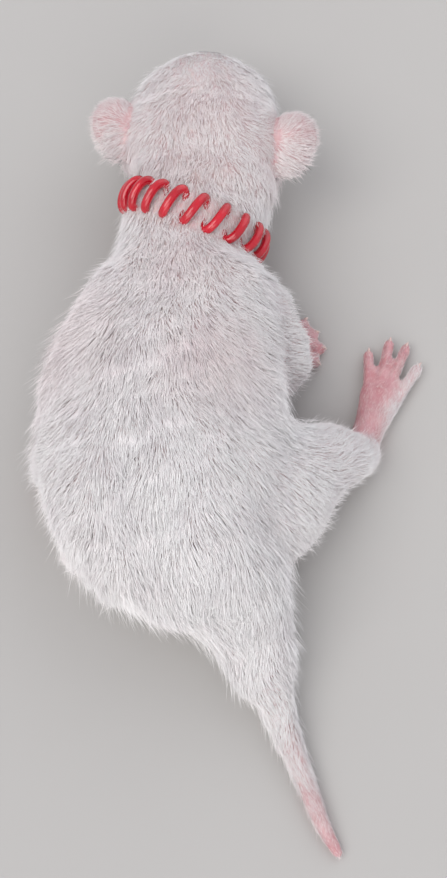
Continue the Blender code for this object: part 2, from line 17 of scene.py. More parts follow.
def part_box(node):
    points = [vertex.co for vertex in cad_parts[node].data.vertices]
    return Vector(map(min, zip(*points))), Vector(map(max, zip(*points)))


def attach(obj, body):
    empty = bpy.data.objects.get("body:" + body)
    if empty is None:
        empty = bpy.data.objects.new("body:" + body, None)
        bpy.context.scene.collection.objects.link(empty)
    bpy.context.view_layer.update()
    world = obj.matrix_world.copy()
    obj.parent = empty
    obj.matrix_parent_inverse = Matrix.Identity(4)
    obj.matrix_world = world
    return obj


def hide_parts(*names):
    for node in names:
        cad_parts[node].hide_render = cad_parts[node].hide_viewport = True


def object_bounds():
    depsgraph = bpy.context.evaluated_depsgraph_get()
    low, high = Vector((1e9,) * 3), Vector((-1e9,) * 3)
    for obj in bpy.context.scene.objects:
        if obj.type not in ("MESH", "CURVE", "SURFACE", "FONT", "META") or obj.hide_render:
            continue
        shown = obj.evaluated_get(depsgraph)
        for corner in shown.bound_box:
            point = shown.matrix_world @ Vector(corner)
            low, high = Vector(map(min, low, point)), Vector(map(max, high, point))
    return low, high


bl_info = {
    "name": "Sleeping Kitten Looks",
    "version": (1, 0, 0),
    "blender": (4, 5, 0),
    "location": "View3D > Sidebar > Kitten",
    "description": "Skin, coat, claws, whiskers and coil collar of a newborn kitten, built on its solids",
    "category": "Object",
}

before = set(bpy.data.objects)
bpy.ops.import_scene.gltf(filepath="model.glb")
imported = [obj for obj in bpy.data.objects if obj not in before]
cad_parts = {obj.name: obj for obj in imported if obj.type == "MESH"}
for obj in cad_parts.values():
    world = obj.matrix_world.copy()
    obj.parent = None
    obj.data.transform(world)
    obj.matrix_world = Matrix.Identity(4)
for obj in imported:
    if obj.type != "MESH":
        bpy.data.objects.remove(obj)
CAD_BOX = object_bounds()

MM = 0.001

# How the flesh becomes one skin: how far it swells and is puffed up, and how often each stage is smoothed.
NOT_FLESH = ("collar", "neck")
SWELL = 0.5
PUFF = 1.2
SOFTEN_ROUNDS = 4
FURRY_ROUNDS = 80
SHOULDER_ROUNDS = 200
SHRINK_STEPS = 5
STEP_ROUNDS = 8
NECK_ROUNDS = 60
SEAT_ROUNDS = 24
SKIN_TRIANGLES = 190000

# The skull's own frame has x right, y to the nose and z up. Face lines are given in it.
SKULL = (-5.9, 58.8, 16.2)
SKULL_PITCH = -10
SKULL_YAW = -1
MOUTH = [(0, 27.2, -6.0), (0, 26.8, -7.7), (2.2, 25.9, -8.6), (4.4, 24.0, -9.0), (6.4, 20.8, -8.7)]
LID_SLIT = [(4.4, 20.4, -0.9), (6.4, 19.6, -1.3), (8.8, 18.0, -0.9), (11.2, 14.6, 0.2)]
NOSTRIL = [(1.25, 27.2, -4.2), (2.0, 26.6, -4.5)]
WHISKER_BED = (4.6, 22.6, -6.2)

# The oval ring that the coil is wound on, with its middle, turn, lean and half-sizes. Its own Z runs along
# the neck. The cord's middle strays from the ring by COIL_ACROSS along the neck and COIL_DEEP outward, and
# the skin under it is brought to the ring's oval plus COIL_SEAT.
RING = (-7.6, 38.8, 16.2)
RING_YAW = -23
RING_PITCH = 20
RING_WIDE = 13.9
RING_TALL = 13.4
COIL_ACROSS = 2.9
COIL_DEEP = 1.45
COIL_SEAT = -0.5

# The winding leads its even turns by waves round the ring, each with its number, height and start.
COIL_LEADS = ((1, 1.53, 2.16), (2, 0.72, 5.55))
COIL_START = 0.35

# The flesh of the neck: centre x, y, z, half-width and half-height, drawn in where the coil sits.
NECK = [
    (-6.2, 53.0, 16.2, 12.5, 11.0),
    (-6.6, 46.0, 16.3, 15.7, 13.8),
    (-6.9, 43.0, 16.2, 15.2, 13.8),
    (-7.6, 38.8, 16.0, 14.6, 13.8),
    (-8.2, 34.0, 15.7, 14.9, 14.2),
    (-8.5, 29.0, 15.6, 16.2, 15.0),
    (-8.6, 21.0, 15.8, 14.0, 12.0),
]

# Where the arms leave the trunk and the skin is smoothed most, and the muscle that fills each pocket there.
SHOULDERS = [(-26, 23, 11), (11, 21, 9)]
MUSCLES = [((-22.5, 24.5, 9.0), (4.2, 8.0, 6.5)), ((6.8, 22.5, 9.5), (4.2, 8.0, 6.5))]

# The rounded pad of each finger: its half-width and its middle's height.
FINGER = 1.25
FINGER_RISE = 1.75

# A toe or finger runs from root to tip, seen from above, and its claw grows from the tip.
TOES = {
    "hind_foot_right": [
        ((27.3, 6.4), (27.9, 16.2)),
        ((29.2, 7.4), (32.2, 18.7)),
        ((31.3, 7.4), (35.5, 17.7)),
        ((33.1, 5.8), (37.6, 13.0)),
    ],
    "hind_foot_left": [
        ((-35.3, -13.0), (-37.7, -6.0)),
        ((-33.7, -11.8), (-35.3, -3.0)),
        ((-31.9, -11.6), (-32.3, -2.4)),
        ((-30.1, -12.4), (-29.5, -4.2)),
    ],
    "forepaw_right": [
        ((12.7, 21.4), (14.9, 24.0)),
        ((13.7, 20.2), (16.9, 21.2)),
        ((14.1, 18.2), (18.1, 17.8)),
        ((13.3, 16.4), (16.9, 14.6)),
    ],
    "forepaw_left": [
        ((-25.3, 26.4), (-26.7, 30.6)),
        ((-23.9, 27.4), (-24.4, 32.2)),
        ((-22.3, 27.4), (-21.9, 32.2)),
        ((-20.9, 26.2), (-19.5, 30.4)),
    ],
}

# A claw's reach past its toe and its half-width at the root.
HIND_CLAW = 1.9
FORE_CLAW = 1.3
CLAW_WIDE = 0.34

# Where the coat is painted pinker: a middle and a width. Most are skin showing through the thin coat; the
# one on the left flank is painted pink reflected light.
SKIN_AND_REFLECTED_PINK = [
    ((-6, 60, 31), 15),
    ((-8, 44, 30), 13),
    # Painted pink reflected light on the left flank.
    ((-27, 8, 18), 17),
    ((-10, 24, 32), 12),
    ((-4, 2, 34), 12),
]

# The coat's guides on each node: a place as shares of the node's box, the way the hair lies, and the hair's
# length, its lift in degrees, the coat's depth over the skin, its thickness and how bare it is.
GUIDES = {
    "head": [
        ((0.50, 0.97, 0.42), (0, -1, 0.6), 0.6, 10, 0.15, 1.0, 0.55),
        ((0.37, 0.90, 0.28), (-0.5, -0.8, -0.2), 0.9, 16, 0.30, 1.1, 0.25),
        ((0.63, 0.90, 0.28), (0.5, -0.8, -0.2), 0.9, 16, 0.30, 1.1, 0.25),
        ((0.25, 0.80, 0.42), (-0.4, -0.9, 0.1), 1.0, 14, 0.40, 1.1, 0.15),
        ((0.75, 0.80, 0.42), (0.4, -0.9, 0.1), 1.0, 14, 0.40, 1.1, 0.15),
        ((0.50, 0.82, 0.62), (0, -1, 0.5), 1.4, 9, 0.55, 1.1, 0.1),
        ((0.50, 0.70, 0.85), (0, -1, 0.3), 2.0, 10, 0.80, 1.0, 0),
        ((0.50, 0.45, 1.00), (0, -1, 0), 2.8, 16, 1.15, 1.0, 0),
        ((0.10, 0.58, 0.35), (-0.35, -0.80, -0.35), 2.6, 26, 1.0, 1.0, 0),
        ((0.90, 0.58, 0.35), (0.35, -0.80, -0.35), 2.6, 26, 1.0, 1.0, 0),
        ((0.22, 0.62, 0.85), (-0.6, -0.8, 0), 2.8, 17, 1.0, 1.0, 0),
        ((0.78, 0.62, 0.85), (0.6, -0.8, 0), 2.8, 17, 1.0, 1.0, 0),
        ((0.10, 0.76, 0.60), (-0.9, -0.3, 0.15), 2.4, 30, 0.8, 1.0, 0),
        ((0.90, 0.76, 0.60), (0.9, -0.3, 0.15), 2.4, 30, 0.8, 1.0, 0),
        ((0.50, 0.75, 0.02), (0, -1, 0), 1.0, 10, 0.5, 0.7, 0.3),
    ],
    "ear_left": [
        ((0.15, 0.55, 0.5), (-1, 0.25, 0.05), 1.9, 8, 0.08, 0.7, 0.75),
        ((0.60, 0.25, 0.6), (-0.75, -0.65, 0), 2.8, 12, 0.12, 1.1, 0.45),
        ((0.60, 0.80, 0.6), (-0.6, 0.8, 0.1), 2.0, 10, 0.10, 0.8, 0.6),
    ],
    "ear_right": [
        ((0.85, 0.55, 0.5), (1, 0.25, 0.05), 1.9, 8, 0.08, 0.7, 0.75),
        ((0.40, 0.25, 0.6), (0.75, -0.65, 0), 2.8, 12, 0.12, 1.1, 0.45),
        ((0.40, 0.80, 0.6), (0.6, 0.8, 0.1), 2.0, 10, 0.10, 0.8, 0.6),
    ],
    "neck": [
        ((0.50, 0.55, 1.00), (-0.1, -1, -0.05), 2.8, 30, 1.3, 1.0, 0),
        ((0.02, 0.55, 0.45), (-0.25, -0.95, -0.35), 2.8, 28, 1.3, 1.0, 0),
        ((0.98, 0.45, 0.45), (0.20, -0.95, -0.35), 2.8, 28, 1.3, 1.0, 0),
    ],
    "torso": [
        ((0.28, 0.94, 0.85), (-0.1, -1, -0.1), 3.2, 25, 1.7, 1.0, 0),
        ((0.32, 0.78, 1.00), (0.0, -1, 0), 4.0, 19, 1.8, 1.0, 0),
        ((0.35, 0.50, 1.00), (0.05, -1, 0), 4.8, 15, 1.8, 1.0, 0),
        ((0.14, 0.58, 0.85), (-0.45, -0.9, -0.1), 4.6, 17, 1.8, 1.0, 0),
        ((0.60, 0.50, 0.88), (0.5, -0.85, -0.1), 4.6, 17, 1.7, 1.0, 0),
        ((0.42, 0.25, 0.97), (0.15, -1, -0.1), 5.0, 16, 1.8, 1.0, 0),
        ((0.62, 0.08, 0.65), (0.25, -0.95, -0.25), 5.2, 22, 1.7, 1.0, 0),
        ((0.06, 0.70, 0.45), (-0.55, -0.75, -0.35), 4.6, 26, 1.8, 1.0, 0),
        ((0.00, 0.45, 0.40), (-0.45, -0.8, -0.4), 5.0, 28, 1.9, 1.0, 0),
        ((0.10, 0.15, 0.35), (-0.30, -0.9, -0.35), 5.2, 32, 1.8, 1.0, 0),
        ((0.68, 0.72, 0.45), (0.4, -0.75, -0.45), 4.0, 24, 1.5, 1.0, 0),
        ((0.80, 0.48, 0.45), (0.4, -0.8, -0.45), 4.4, 26, 1.6, 1.0, 0),
        ((0.11, 0.62, 0.17), (-0.5, -0.6, -0.6), 2.8, 20, 1.1, 1.0, 0),
        ((0.09, 0.53, 0.26), (-0.5, -0.6, -0.6), 3.4, 22, 1.4, 1.0, 0),
        ((0.31, 0.92, 0.17), (-0.4, -0.7, -0.6), 2.2, 20, 0.9, 1.0, 0),
        ((0.81, 0.88, 0.17), (0.4, -0.7, -0.6), 2.2, 20, 0.9, 1.0, 0),
        ((0.40, 0.50, 0.00), (0, -1, 0), 1.6, 8, 0.5, 0.5, 0.2),
    ],
    "tail": [
        ((0.20, 0.92, 0.60), (0.35, -0.93, -0.15), 3.6, 26, 1.2, 1.1, 0),
        ((0.45, 0.62, 0.35), (0.36, -0.93, -0.05), 2.6, 22, 0.7, 1.1, 0.05),
        ((0.62, 0.42, 0.20), (0.30, -0.95, 0), 2.0, 18, 0.35, 1.0, 0.25),
        ((0.78, 0.20, 0.12), (0.36, -0.93, 0), 1.4, 14, 0.15, 0.7, 0.7),
        ((0.97, 0.02, 0.08), (0.36, -0.93, 0), 1.0, 12, 0.08, 0.45, 0.9),
    ],
    "hind_leg_right": [
        ((0.10, 0.25, 0.85), (0.7, -0.5, -0.5), 3.2, 24, 1.4, 1.0, 0),
        ((0.75, 0.55, 0.50), (0.75, 0.35, -0.5), 2.4, 22, 0.9, 1.0, 0),
    ],
    "hind_foot_right": [
        ((0.35, 0.05, 0.60), (0.5, 0.85, -0.3), 2.2, 20, 0.50, 1.3, 0),
        ((0.72, 0.30, 0.45), (0.4, 0.9, -0.1), 1.9, 16, 0.25, 1.5, 0),
        ((0.85, 0.45, 0.35), (0.38, 0.92, 0), 1.6, 14, 0.16, 1.5, 0),
        ((0.93, 0.62, 0.25), (0.35, 0.93, 0), 1.2, 12, 0.10, 1.0, 0.3),
        ((0.12, 0.25, 0.40), (0.1, 0.98, 0), 1.1, 8, 0.10, 0.25, 0.9),
        ((0.35, 0.35, 0.35), (0.2, 0.95, 0), 1.1, 8, 0.10, 0.12, 1.0),
        ((0.30, 0.55, 0.35), (0.2, 0.95, 0), 1.1, 8, 0.10, 0.12, 1.0),
        ((0.55, 0.65, 0.25), (0.25, 0.95, 0), 1.0, 8, 0.08, 0.12, 1.0),
        ((0.20, 0.90, 0.20), (0.1, 0.98, 0), 0.8, 10, 0.06, 0.25, 0.9),
        ((0.70, 0.95, 0.20), (0.3, 0.95, 0), 0.8, 10, 0.06, 0.25, 0.9),
    ],
    "hind_leg_left": [
        ((0.15, 0.40, 0.70), (-0.5, -0.2, -0.8), 3.2, 24, 1.3, 1.0, 0),
        ((0.20, 0.75, 0.45), (-0.4, 0.3, -0.8), 3.0, 24, 1.2, 1.0, 0),
    ],
    "hind_foot_left": [
        ((0.60, 0.30, 0.50), (-0.2, 0.95, -0.1), 1.4, 16, 0.20, 1.0, 0.3),
        ((0.40, 0.60, 0.40), (-0.1, 0.95, 0), 0.9, 12, 0.10, 0.6, 0.8),
        ((0.30, 0.90, 0.25), (-0.1, 0.95, 0), 0.7, 12, 0.06, 0.3, 1.0),
    ],
    "foreleg_right": [
        ((0.60, 0.50, 0.60), (0.5, 0.3, -0.7), 2.6, 24, 1.0, 1.0, 0),
        ((0.60, 0.92, 0.55), (0.4, 0.7, -0.6), 2.0, 20, 0.7, 1.0, 0),
    ],
    "forepaw_right": [
        ((0.20, 0.30, 0.60), (0.5, 0.8, -0.2), 1.2, 16, 0.30, 1.0, 0.2),
        ((0.60, 0.50, 0.40), (0.8, 0.3, -0.1), 0.7, 12, 0.06, 0.4, 1.0),
    ],
    "foreleg_left": [
        ((0.35, 0.50, 0.60), (-0.4, 0.5, -0.7), 2.6, 24, 1.0, 1.0, 0),
        ((0.50, 0.92, 0.55), (-0.3, 0.7, -0.6), 2.0, 20, 0.7, 1.0, 0),
    ],
    "forepaw_left": [
        ((0.50, 0.15, 0.70), (0, 0.9, -0.3), 1.2, 16, 0.30, 1.0, 0.2),
        ((0.50, 0.65, 0.40), (0, 1, -0.1), 0.7, 12, 0.06, 0.4, 1.0),
    ],
}

# Hair gathers into fine clumps within broad ones. Each clump has its size, how far its own lie sways from
# the guides' and how much of the pull towards its middle it gets.
FINE_CLUMP = 1.1
FINE_SWAY = 0.10
FINE_PULL = 0.7
BROAD_CLUMP = 3.0
BROAD_SWAY = 0.09
BROAD_PULL = 0.45
TUFT_SWAY = 0.09

# Whole patches of hair turn to one side and ruffle up: the size of a patch, and how strongly it does.
TURNED_PATCH = 12
TURNED = 0.18
RUFFLED_PATCH = 6
RUFFLED = 0.16
CLUMP_LIFT = 0.22

# A stray hair is longer and thinner, and stands up more. Most are on the sides, and none where the skin
# faces up by more than STRAY_TOP.
STRAY_CHANCE = 0.02
SIDE_STRAY_CHANCE = 0.08
STRAY_TOP = 0.75
STRAY_LENGTH = 1.5
STRAY_LIFT = 0.22
STRAY_WIDTH = 0.6
STRAY_PULL = 0.2

# Hair is shorter and stands up more in the collar's ring, flatter where it points uphill, finer where bare.
COLLAR_SHORTER = 0.45
COLLAR_LIFT = 0.16
UPHILL_FLATTER = 0.6
BARE_FINER = 0.35

# Each tuft is a closed spindle: a sunk root, a bulge of three corners at a share of its length, and a tip.
ROOT_SUNK = 0.2
BULGE_AT = 0.42
SPINDLE = np.array([(0, 1, 2), (0, 2, 3), (0, 3, 1), (1, 4, 2), (2, 4, 3), (3, 4, 1)])
COAT_PIECES = ("face", "crown", "nape", "withers", "back", "loin", "rump", "tail")

# Half the floor's side, in metres.
FLOOR_HALF = 12.0

# The camera looks at a point on the back, from behind and above. Its lens is the sensor's width times the
# photo's focal length over the frame's longer side, both in pixels.
AIM = (-1.7, -11.2, 20)
CAMERA_RISE = 65
CAMERA_REACH = 290
SENSOR = 36
FOCAL_PIXELS = 1560
FRAME_PIXELS = 878


class KittenSkinSettings(bpy.types.PropertyGroup):
    """Sizes and colours of the skin."""

    grain: FloatProperty(name="Grain", description="Voxel that the skin is melted at", default=0.3 * MM,
                         min=0.2 * MM, max=1.0 * MM, precision=5, subtype="DISTANCE")
    pale: FloatVectorProperty(name="Pale Skin", description="Skin under the coat",
                              default=(0.82, 0.68, 0.67), size=3, min=0, max=1, subtype="COLOR")
    pink: FloatVectorProperty(name="Bare Skin", description="Skin of ears, feet and tail tip",
                              default=(0.60, 0.315, 0.335), size=3, min=0, max=1, subtype="COLOR")


class KittenCoatSettings(bpy.types.PropertyGroup):
    """Sizes and colours of the coat."""

    tufts: IntProperty(name="Tufts", description="Tufts in the whole coat", default=250000,
                       min=1000, max=260000)
    width: FloatProperty(name="Tuft Width", description="Half-width of a body tuft at its thickest",
                         default=0.068 * MM, min=0.02 * MM, max=1 * MM, precision=5, subtype="DISTANCE")
    light: FloatVectorProperty(name="Hair Tip", description="Colour of the tips",
                               default=(0.97, 0.96, 0.955), size=3, min=0, max=1, subtype="COLOR")
    # The root colour is darker: partly skin showing through, partly painted shade deep in the coat.
    root: FloatVectorProperty(name="Hair Root", description="Colour near the skin",
                              default=(0.86, 0.78, 0.775), size=3, min=0, max=1, subtype="COLOR")
    seed: IntProperty(name="Seed", description="Seed of the coat's random draws", default=7)


class KittenCollarSettings(bpy.types.PropertyGroup):
    """Sizes and colours of the coil collar."""

    turns: IntProperty(name="Turns", description="Turns of the coil round the neck", default=19,
                       min=8, max=40)
    cord: FloatProperty(name="Cord Radius", description="Half the cord's thickness", default=0.9 * MM,
                        min=0.2 * MM, max=2 * MM, precision=5, subtype="DISTANCE")
    colour: FloatVectorProperty(name="Cord Colour", description="Colour of the glossy cord",
                                default=(0.58, 0.005, 0.022), size=3, min=0, max=1, subtype="COLOR")


class KittenStageSettings(bpy.types.PropertyGroup):
    """Colours and strengths of the floor and the studio light."""

    floor: FloatVectorProperty(name="Floor", description="Colour of the floor", default=(0.48, 0.465, 0.45),
                               size=3, min=0, max=1, subtype="COLOR")
    key: FloatProperty(name="Key Light", description="Strength of the main light", default=1.35, min=0)
    room: FloatProperty(name="Room Light", description="Brightness of the room", default=0.66, min=0)


def skull_place():
    """The placement of the skull's own frame, in metres."""
    turn = Euler((math.radians(SKULL_PITCH), 0, math.radians(SKULL_YAW))).to_matrix().to_4x4()
    return Matrix.Translation(Vector(SKULL) * MM) @ turn


def ring_place():
    """The placement of the collar's ring, whose own Z runs along the neck, in metres."""
    lean = Euler((math.radians(RING_PITCH - 90), 0, 0)).to_matrix().to_4x4()
    return Matrix.Translation(Vector(RING) * MM) @ Matrix.Rotation(math.radians(RING_YAW), 4, "Z") @ lean


def placed(points, matrix):
    """Points moved by a 4x4 matrix: the rotation times each point, plus the shift."""
    whole = np.array(matrix)
    return points @ whole[:3, :3].T + whole[:3, 3]


def unit(vectors):
    """Each row divided by its own length."""
    return vectors / np.maximum(np.linalg.norm(vectors, axis=-1, keepdims=True), 1e-12)


def ramp(value, start, end):
    """A smooth step: 0 below start, 1 above end, and 3t squared less 2t cubed between."""
    t = np.clip((value - start) / (end - start), 0, 1)
    return t * t * (3 - 2 * t)


def flow(stations, steps):
    """Rows on a smooth curve: each piece is the cubic through two stations, whose slopes there are half the
    step from the station before to the one after."""
    rows = np.array(stations, float)
    rows = np.vstack([2 * rows[0] - rows[1], rows, 2 * rows[-1] - rows[-2]])
    t = np.tile(np.arange(steps) / steps, len(rows) - 3)[:, None]
    i = np.repeat(np.arange(1, len(rows) - 2), steps)
    a, b, c, d = rows[i - 1], rows[i], rows[i + 1], rows[i + 2]
    found = b + 0.5 * ((c - a) * t + (2 * a - 5 * b + 4 * c - d) * t**2 + (3 * b - a - 3 * c + d) * t**3)
    return np.vstack([found, rows[-2]])


def new_mesh(name, points, faces):
    """A mesh from an array of points and an array of faces with equal corner counts."""
    mesh = bpy.data.meshes.new(name)
    faces = np.asarray(faces, np.int32)
    mesh.vertices.add(len(points))
    mesh.vertices.foreach_set("co", np.asarray(points, np.float32).ravel())
    mesh.loops.add(faces.size)
    mesh.loops.foreach_set("vertex_index", faces.ravel())
    mesh.polygons.add(len(faces))
    mesh.polygons.foreach_set("loop_start", np.arange(len(faces), dtype=np.int32) * faces.shape[1])
    mesh.update(calc_edges=True)
    mesh.validate()
    return mesh


def show(name, mesh, material=None):
    """An object for a mesh, linked to the scene at the origin, with smooth faces."""
    obj = bpy.data.objects.new(name, mesh)
    bpy.context.scene.collection.objects.link(obj)
    mesh.shade_smooth()
    if material:
        mesh.materials.append(material)
    return obj


def corners_of(mesh):
    """A mesh's points and their normals as arrays."""
    at, out = np.empty(len(mesh.vertices) * 3), np.empty(len(mesh.vertices) * 3)
    mesh.vertices.foreach_get("co", at)
    mesh.vertices.foreach_get("normal", out)
    return at.reshape(-1, 3), out.reshape(-1, 3)


def set_points(mesh, points):
    """Moves a mesh's points to the given ones."""
    mesh.vertices.foreach_set("co", np.asarray(points, np.float32).ravel())
    mesh.update()


def paint(mesh, name, values):
    """Stores one number for each vertex in a named attribute."""
    layer = mesh.attributes.get(name) or mesh.attributes.new(name, "FLOAT", "POINT")
    layer.data.foreach_set("value", np.asarray(values, np.float32))


def applied(obj):
    """Bakes an object's modifiers into its mesh."""
    seen = obj.evaluated_get(bpy.context.evaluated_depsgraph_get())
    mesh = bpy.data.meshes.new_from_object(seen)
    obj.modifiers.clear()
    old = obj.data
    obj.data = mesh
    bpy.data.meshes.remove(old)


def grid_faces(rows, columns, around):
    """Quads of a grid of points, whose columns may close on themselves."""
    r = np.arange(rows - 1)[:, None]
    c = np.arange(columns if around else columns - 1)[None, :]
    d = (c + 1) % columns
    quads = np.stack([r * columns + c, r * columns + d, (r + 1) * columns + d, (r + 1) * columns + c], -1)
    return quads.reshape(-1, 4)


def tube_points(centre, wide, tall, sides):
    """Rings on a path: centre plus wide times the cosine sideways plus tall times the sine upwards."""
    along = unit(np.gradient(centre, axis=0))
    side = unit(np.cross(along, (0, 0, 1)))
    rise = np.cross(side, along)
    turn = np.arange(sides) * 2 * math.pi / sides
    across = np.cos(turn)[None, :, None] * side[:, None] * wide[:, None, None]
    return centre[:, None] + across + np.sin(turn)[None, :, None] * rise[:, None] * tall[:, None, None]


def closed_tube(name, centre, wide, tall, sides):
    """A tube whose two ends are filled flat, so that it is a closed surface facing outward."""
    rings = tube_points(centre, wide, tall, sides)
    mesh = new_mesh(name, rings.reshape(-1, 3), grid_faces(len(centre), sides, True))
    shape = bmesh.new()
    shape.from_mesh(mesh)
    bmesh.ops.remove_doubles(shape, verts=shape.verts, dist=1e-7)
    bmesh.ops.holes_fill(shape, edges=shape.edges, sides=sides)
    bmesh.ops.recalc_face_normals(shape, faces=shape.faces)
    shape.to_mesh(mesh)
    shape.free()
    return mesh


def combed(points):
    """What the guides say at each point: the mean of their rows, each weighed by one over the square of its
    squared distance plus 1.5 mm squared."""
    places, rows = [], []
    for node, guides in GUIDES.items():
        low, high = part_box(node)
        for share, lie, *sizes in guides:
            places.append([low[k] + share[k] * (high[k] - low[k]) for k in range(3)])
            rows.append([*Vector(lie).normalized(), *sizes])
    places, rows = np.array(places), np.array(rows)
    apart = (points**2).sum(1)[:, None] + (places**2).sum(1)[None] - 2 * points @ places.T
    weight = 1 / (apart + (1.5 * MM) ** 2) ** 2
    found = weight @ rows / weight.sum(1, keepdims=True)
    return {
        "lie": found[:, :3],
        "length": found[:, 3] * MM,
        "lift": np.radians(found[:, 4]),
        "depth": found[:, 5] * MM,
        "thick": found[:, 6],
        "bare": found[:, 7],
    }


def swelling(depth):
    """How far the solids swell to close the gaps between them: almost nothing where the coat is thin."""
    return (0.05 + SWELL * ramp(depth, 0.15 * MM, 0.7 * MM)) * MM


def puffing(depth):
    """How far the melted flesh is puffed up to fill its creases, where the coat is deep."""
    return PUFF * MM * ramp(depth, 0.35 * MM, 1.0 * MM)


def soft_tubes():
    """Closed tubes of flesh that the solids lack: the neck through its stations, an ellipsoid for each
    muscle, and for each finger a pad whose half-width is the sine of its angle to the power 0.7."""
    rows = flow(NECK, 8) * MM
    tubes = [closed_tube("neck", rows[:, :3], rows[:, 3], rows[:, 4], 48)]
    angle = np.linspace(0.08, math.pi - 0.08, 20)[:, None]
    for middle, (wide, deep, tall) in MUSCLES:
        way = np.hstack([0 * angle, -np.cos(angle), 0 * angle]) * deep
        swell = np.sin(angle)[:, 0] * MM
        tubes.append(closed_tube("muscle", (np.array(middle) + way) * MM, swell * wide, swell * tall, 24))
    for root, tip in np.array(TOES["forepaw_left"] + TOES["forepaw_right"]):
        way = np.hstack([root + (tip - root) * (0.62 - 0.58 * np.cos(angle)), 0 * angle + FINGER_RISE])
        swell = np.sin(angle)[:, 0] ** 0.7 * FINGER * MM
        tubes.append(closed_tube("finger", way * MM, swell, swell, 20))
    return tubes


def melted_flesh(grain):
    """All flesh as one closed surface: the solids, swollen until they meet, with the tube of the neck, the
    muscles and the finger pads, melted by voxels, puffed up and melted once more."""
    shape = bmesh.new()
    for name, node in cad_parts.items():
        if name in NOT_FLESH:
            continue
        part = bmesh.new()
        part.from_mesh(node.data)
        bmesh.ops.remove_doubles(part, verts=part.verts, dist=1e-6)
        mesh = bpy.data.meshes.new("part")
        part.to_mesh(mesh)
        part.free()
        at, out = corners_of(mesh)
        set_points(mesh, at + out * swelling(combed(at)["depth"])[:, None])
        shape.from_mesh(mesh)
        bpy.data.meshes.remove(mesh)
    for tube in soft_tubes():
        shape.from_mesh(tube)
        bpy.data.meshes.remove(tube)
    whole = bpy.data.meshes.new("flesh")
    shape.to_mesh(whole)
    shape.free()
    obj = show("skin", whole)
    melt(obj, grain)
    at, out = corners_of(obj.data)
    set_points(obj.data, at + out * puffing(combed(at)["depth"])[:, None])
    melt(obj, grain)
    return obj


def melt(obj, grain):
    """Remeshes an object by voxels, so that all that overlaps becomes one even surface."""
    modifier = obj.modifiers.new("melt", "REMESH")
    modifier.mode = "VOXEL"
    modifier.voxel_size = grain
    soft = obj.modifiers.new("soften", "SMOOTH")
    soft.factor = 0.5
    soft.iterations = SOFTEN_ROUNDS
    applied(obj)


def relaxed(obj, share, rounds):
    """Smooths an object: each round moves a point by half its share of the way to its neighbours' mean."""
    group = obj.vertex_groups.new(name="share")
    levels = np.rint(share * 15).astype(int)
    for level in range(1, 16):
        group.add(np.flatnonzero(levels == level).tolist(), level / 15, "REPLACE")
    soft = obj.modifiers.new("soften", "SMOOTH")
    soft.factor = 0.5
    soft.iterations = rounds
    soft.vertex_group = group.name
    applied(obj)
    obj.vertex_groups.clear()


def waves(rng, points, size, count=9):
    """A smooth random field of about unit spread: a sum of sines along random directions and lengths."""
    pitch = unit(rng.normal(size=(count, 3))) * (2 * math.pi / (size * rng.uniform(0.7, 1.5, (count, 1))))
    return np.sin(points @ pitch.T + rng.uniform(0, 2 * math.pi, count)).sum(1) * math.sqrt(2 / count)


def nearest_seats(points, goals):
    """The surface points nearest to the given ones."""
    return points[np.argmin(((goals[:, None] - points[None]) ** 2).sum(-1), axis=1)]


def nearness(points, seats, width):
    """A bell round the nearest seat: e to the minus squared distance over squared width."""
    near = np.min([np.linalg.norm(points - seat, axis=1) for seat in seats], axis=0)
    return np.exp(-(near / (width * MM)) ** 2)


def seated(points):
    """Points of the neck brought to an even seat for the coil: in the ring's frame their distance from its
    middle blends into the ring's own oval less the seat's depth, by a bell along the neck."""
    local = placed(points, ring_place().inverted()) / MM
    reach = np.hypot(local[:, 0], local[:, 1])
    flat = local[:, :2] / reach[:, None]
    oval = 1 / np.hypot(flat[:, 0] / RING_WIDE, flat[:, 1] / RING_TALL) + COIL_SEAT
    share = np.exp(-np.abs(local[:, 2] / 4.8) ** 3) * (1 - ramp(reach, 18, 26))
    local[:, :2] *= (1 + share * (oval / reach - 1))[:, None]
    return placed(local * MM, ring_place())


def leather(points):
    """How far a point is on the bare nose: an oval that faces forward in the skull's frame, with a soft
    edge."""
    local = placed(points, skull_place().inverted()) / MM
    oval = np.hypot(local[:, 0] / 2.35, (local[:, 2] + 4.1) / 1.75)
    return (1 - ramp(oval, 0.85, 1.15)) * ramp(local[:, 1], 23.5, 25.0)


def face_lines(at):
    """How deep each point is pressed by mouth, lids and nostrils, and how dark the painted shade in these
    creases is: a bell round each line.
    """
    pressed, dark = np.zeros(len(at)), np.zeros(len(at))
    # Each line: its path, how deep it is pressed, its width, and the strength of its painted shade.
    for path, deep, wide, painted_shade in (
        (MOUTH, 0.5, 0.4, 0.8), (LID_SLIT, 0.45, 0.36, 0.9), (NOSTRIL, 0.8, 0.45, 1.3),
    ):
        route = flow(path, 10)
        goals = placed(np.vstack([route, route * (-1, 1, 1)]) * MM, skull_place())
        seats = nearest_seats(at, goals)
        pressed += deep * MM * nearness(at, seats, wide)
        dark = np.maximum(dark, painted_shade * nearness(at, seats, wide * 1.5))
    return pressed, dark


def toe_line(at, one, two):
    """How deep the furrow between two toes is, and how dark its painted shade: a bell round its line that
    fades to the foot.
    """
    root, tip = (np.array(one) + np.array(two)) / 2
    share = np.linspace(0.15, 1.05, 14)[:, None]
    line = np.hstack([root + (tip - root) * share, np.full((14, 1), 4.5)]) * MM
    seats = nearest_seats(at, line)
    along = np.clip((at[:, :2] / MM - root) @ (tip - root) / ((tip - root) ** 2).sum(), 0, 1)
    fade = np.exp(-np.maximum(0, 0.55 - along) * 5)
    return 0.15 * MM * nearness(at, seats, 0.5) * fade, 0.3 * nearness(at, seats, 0.6) * fade


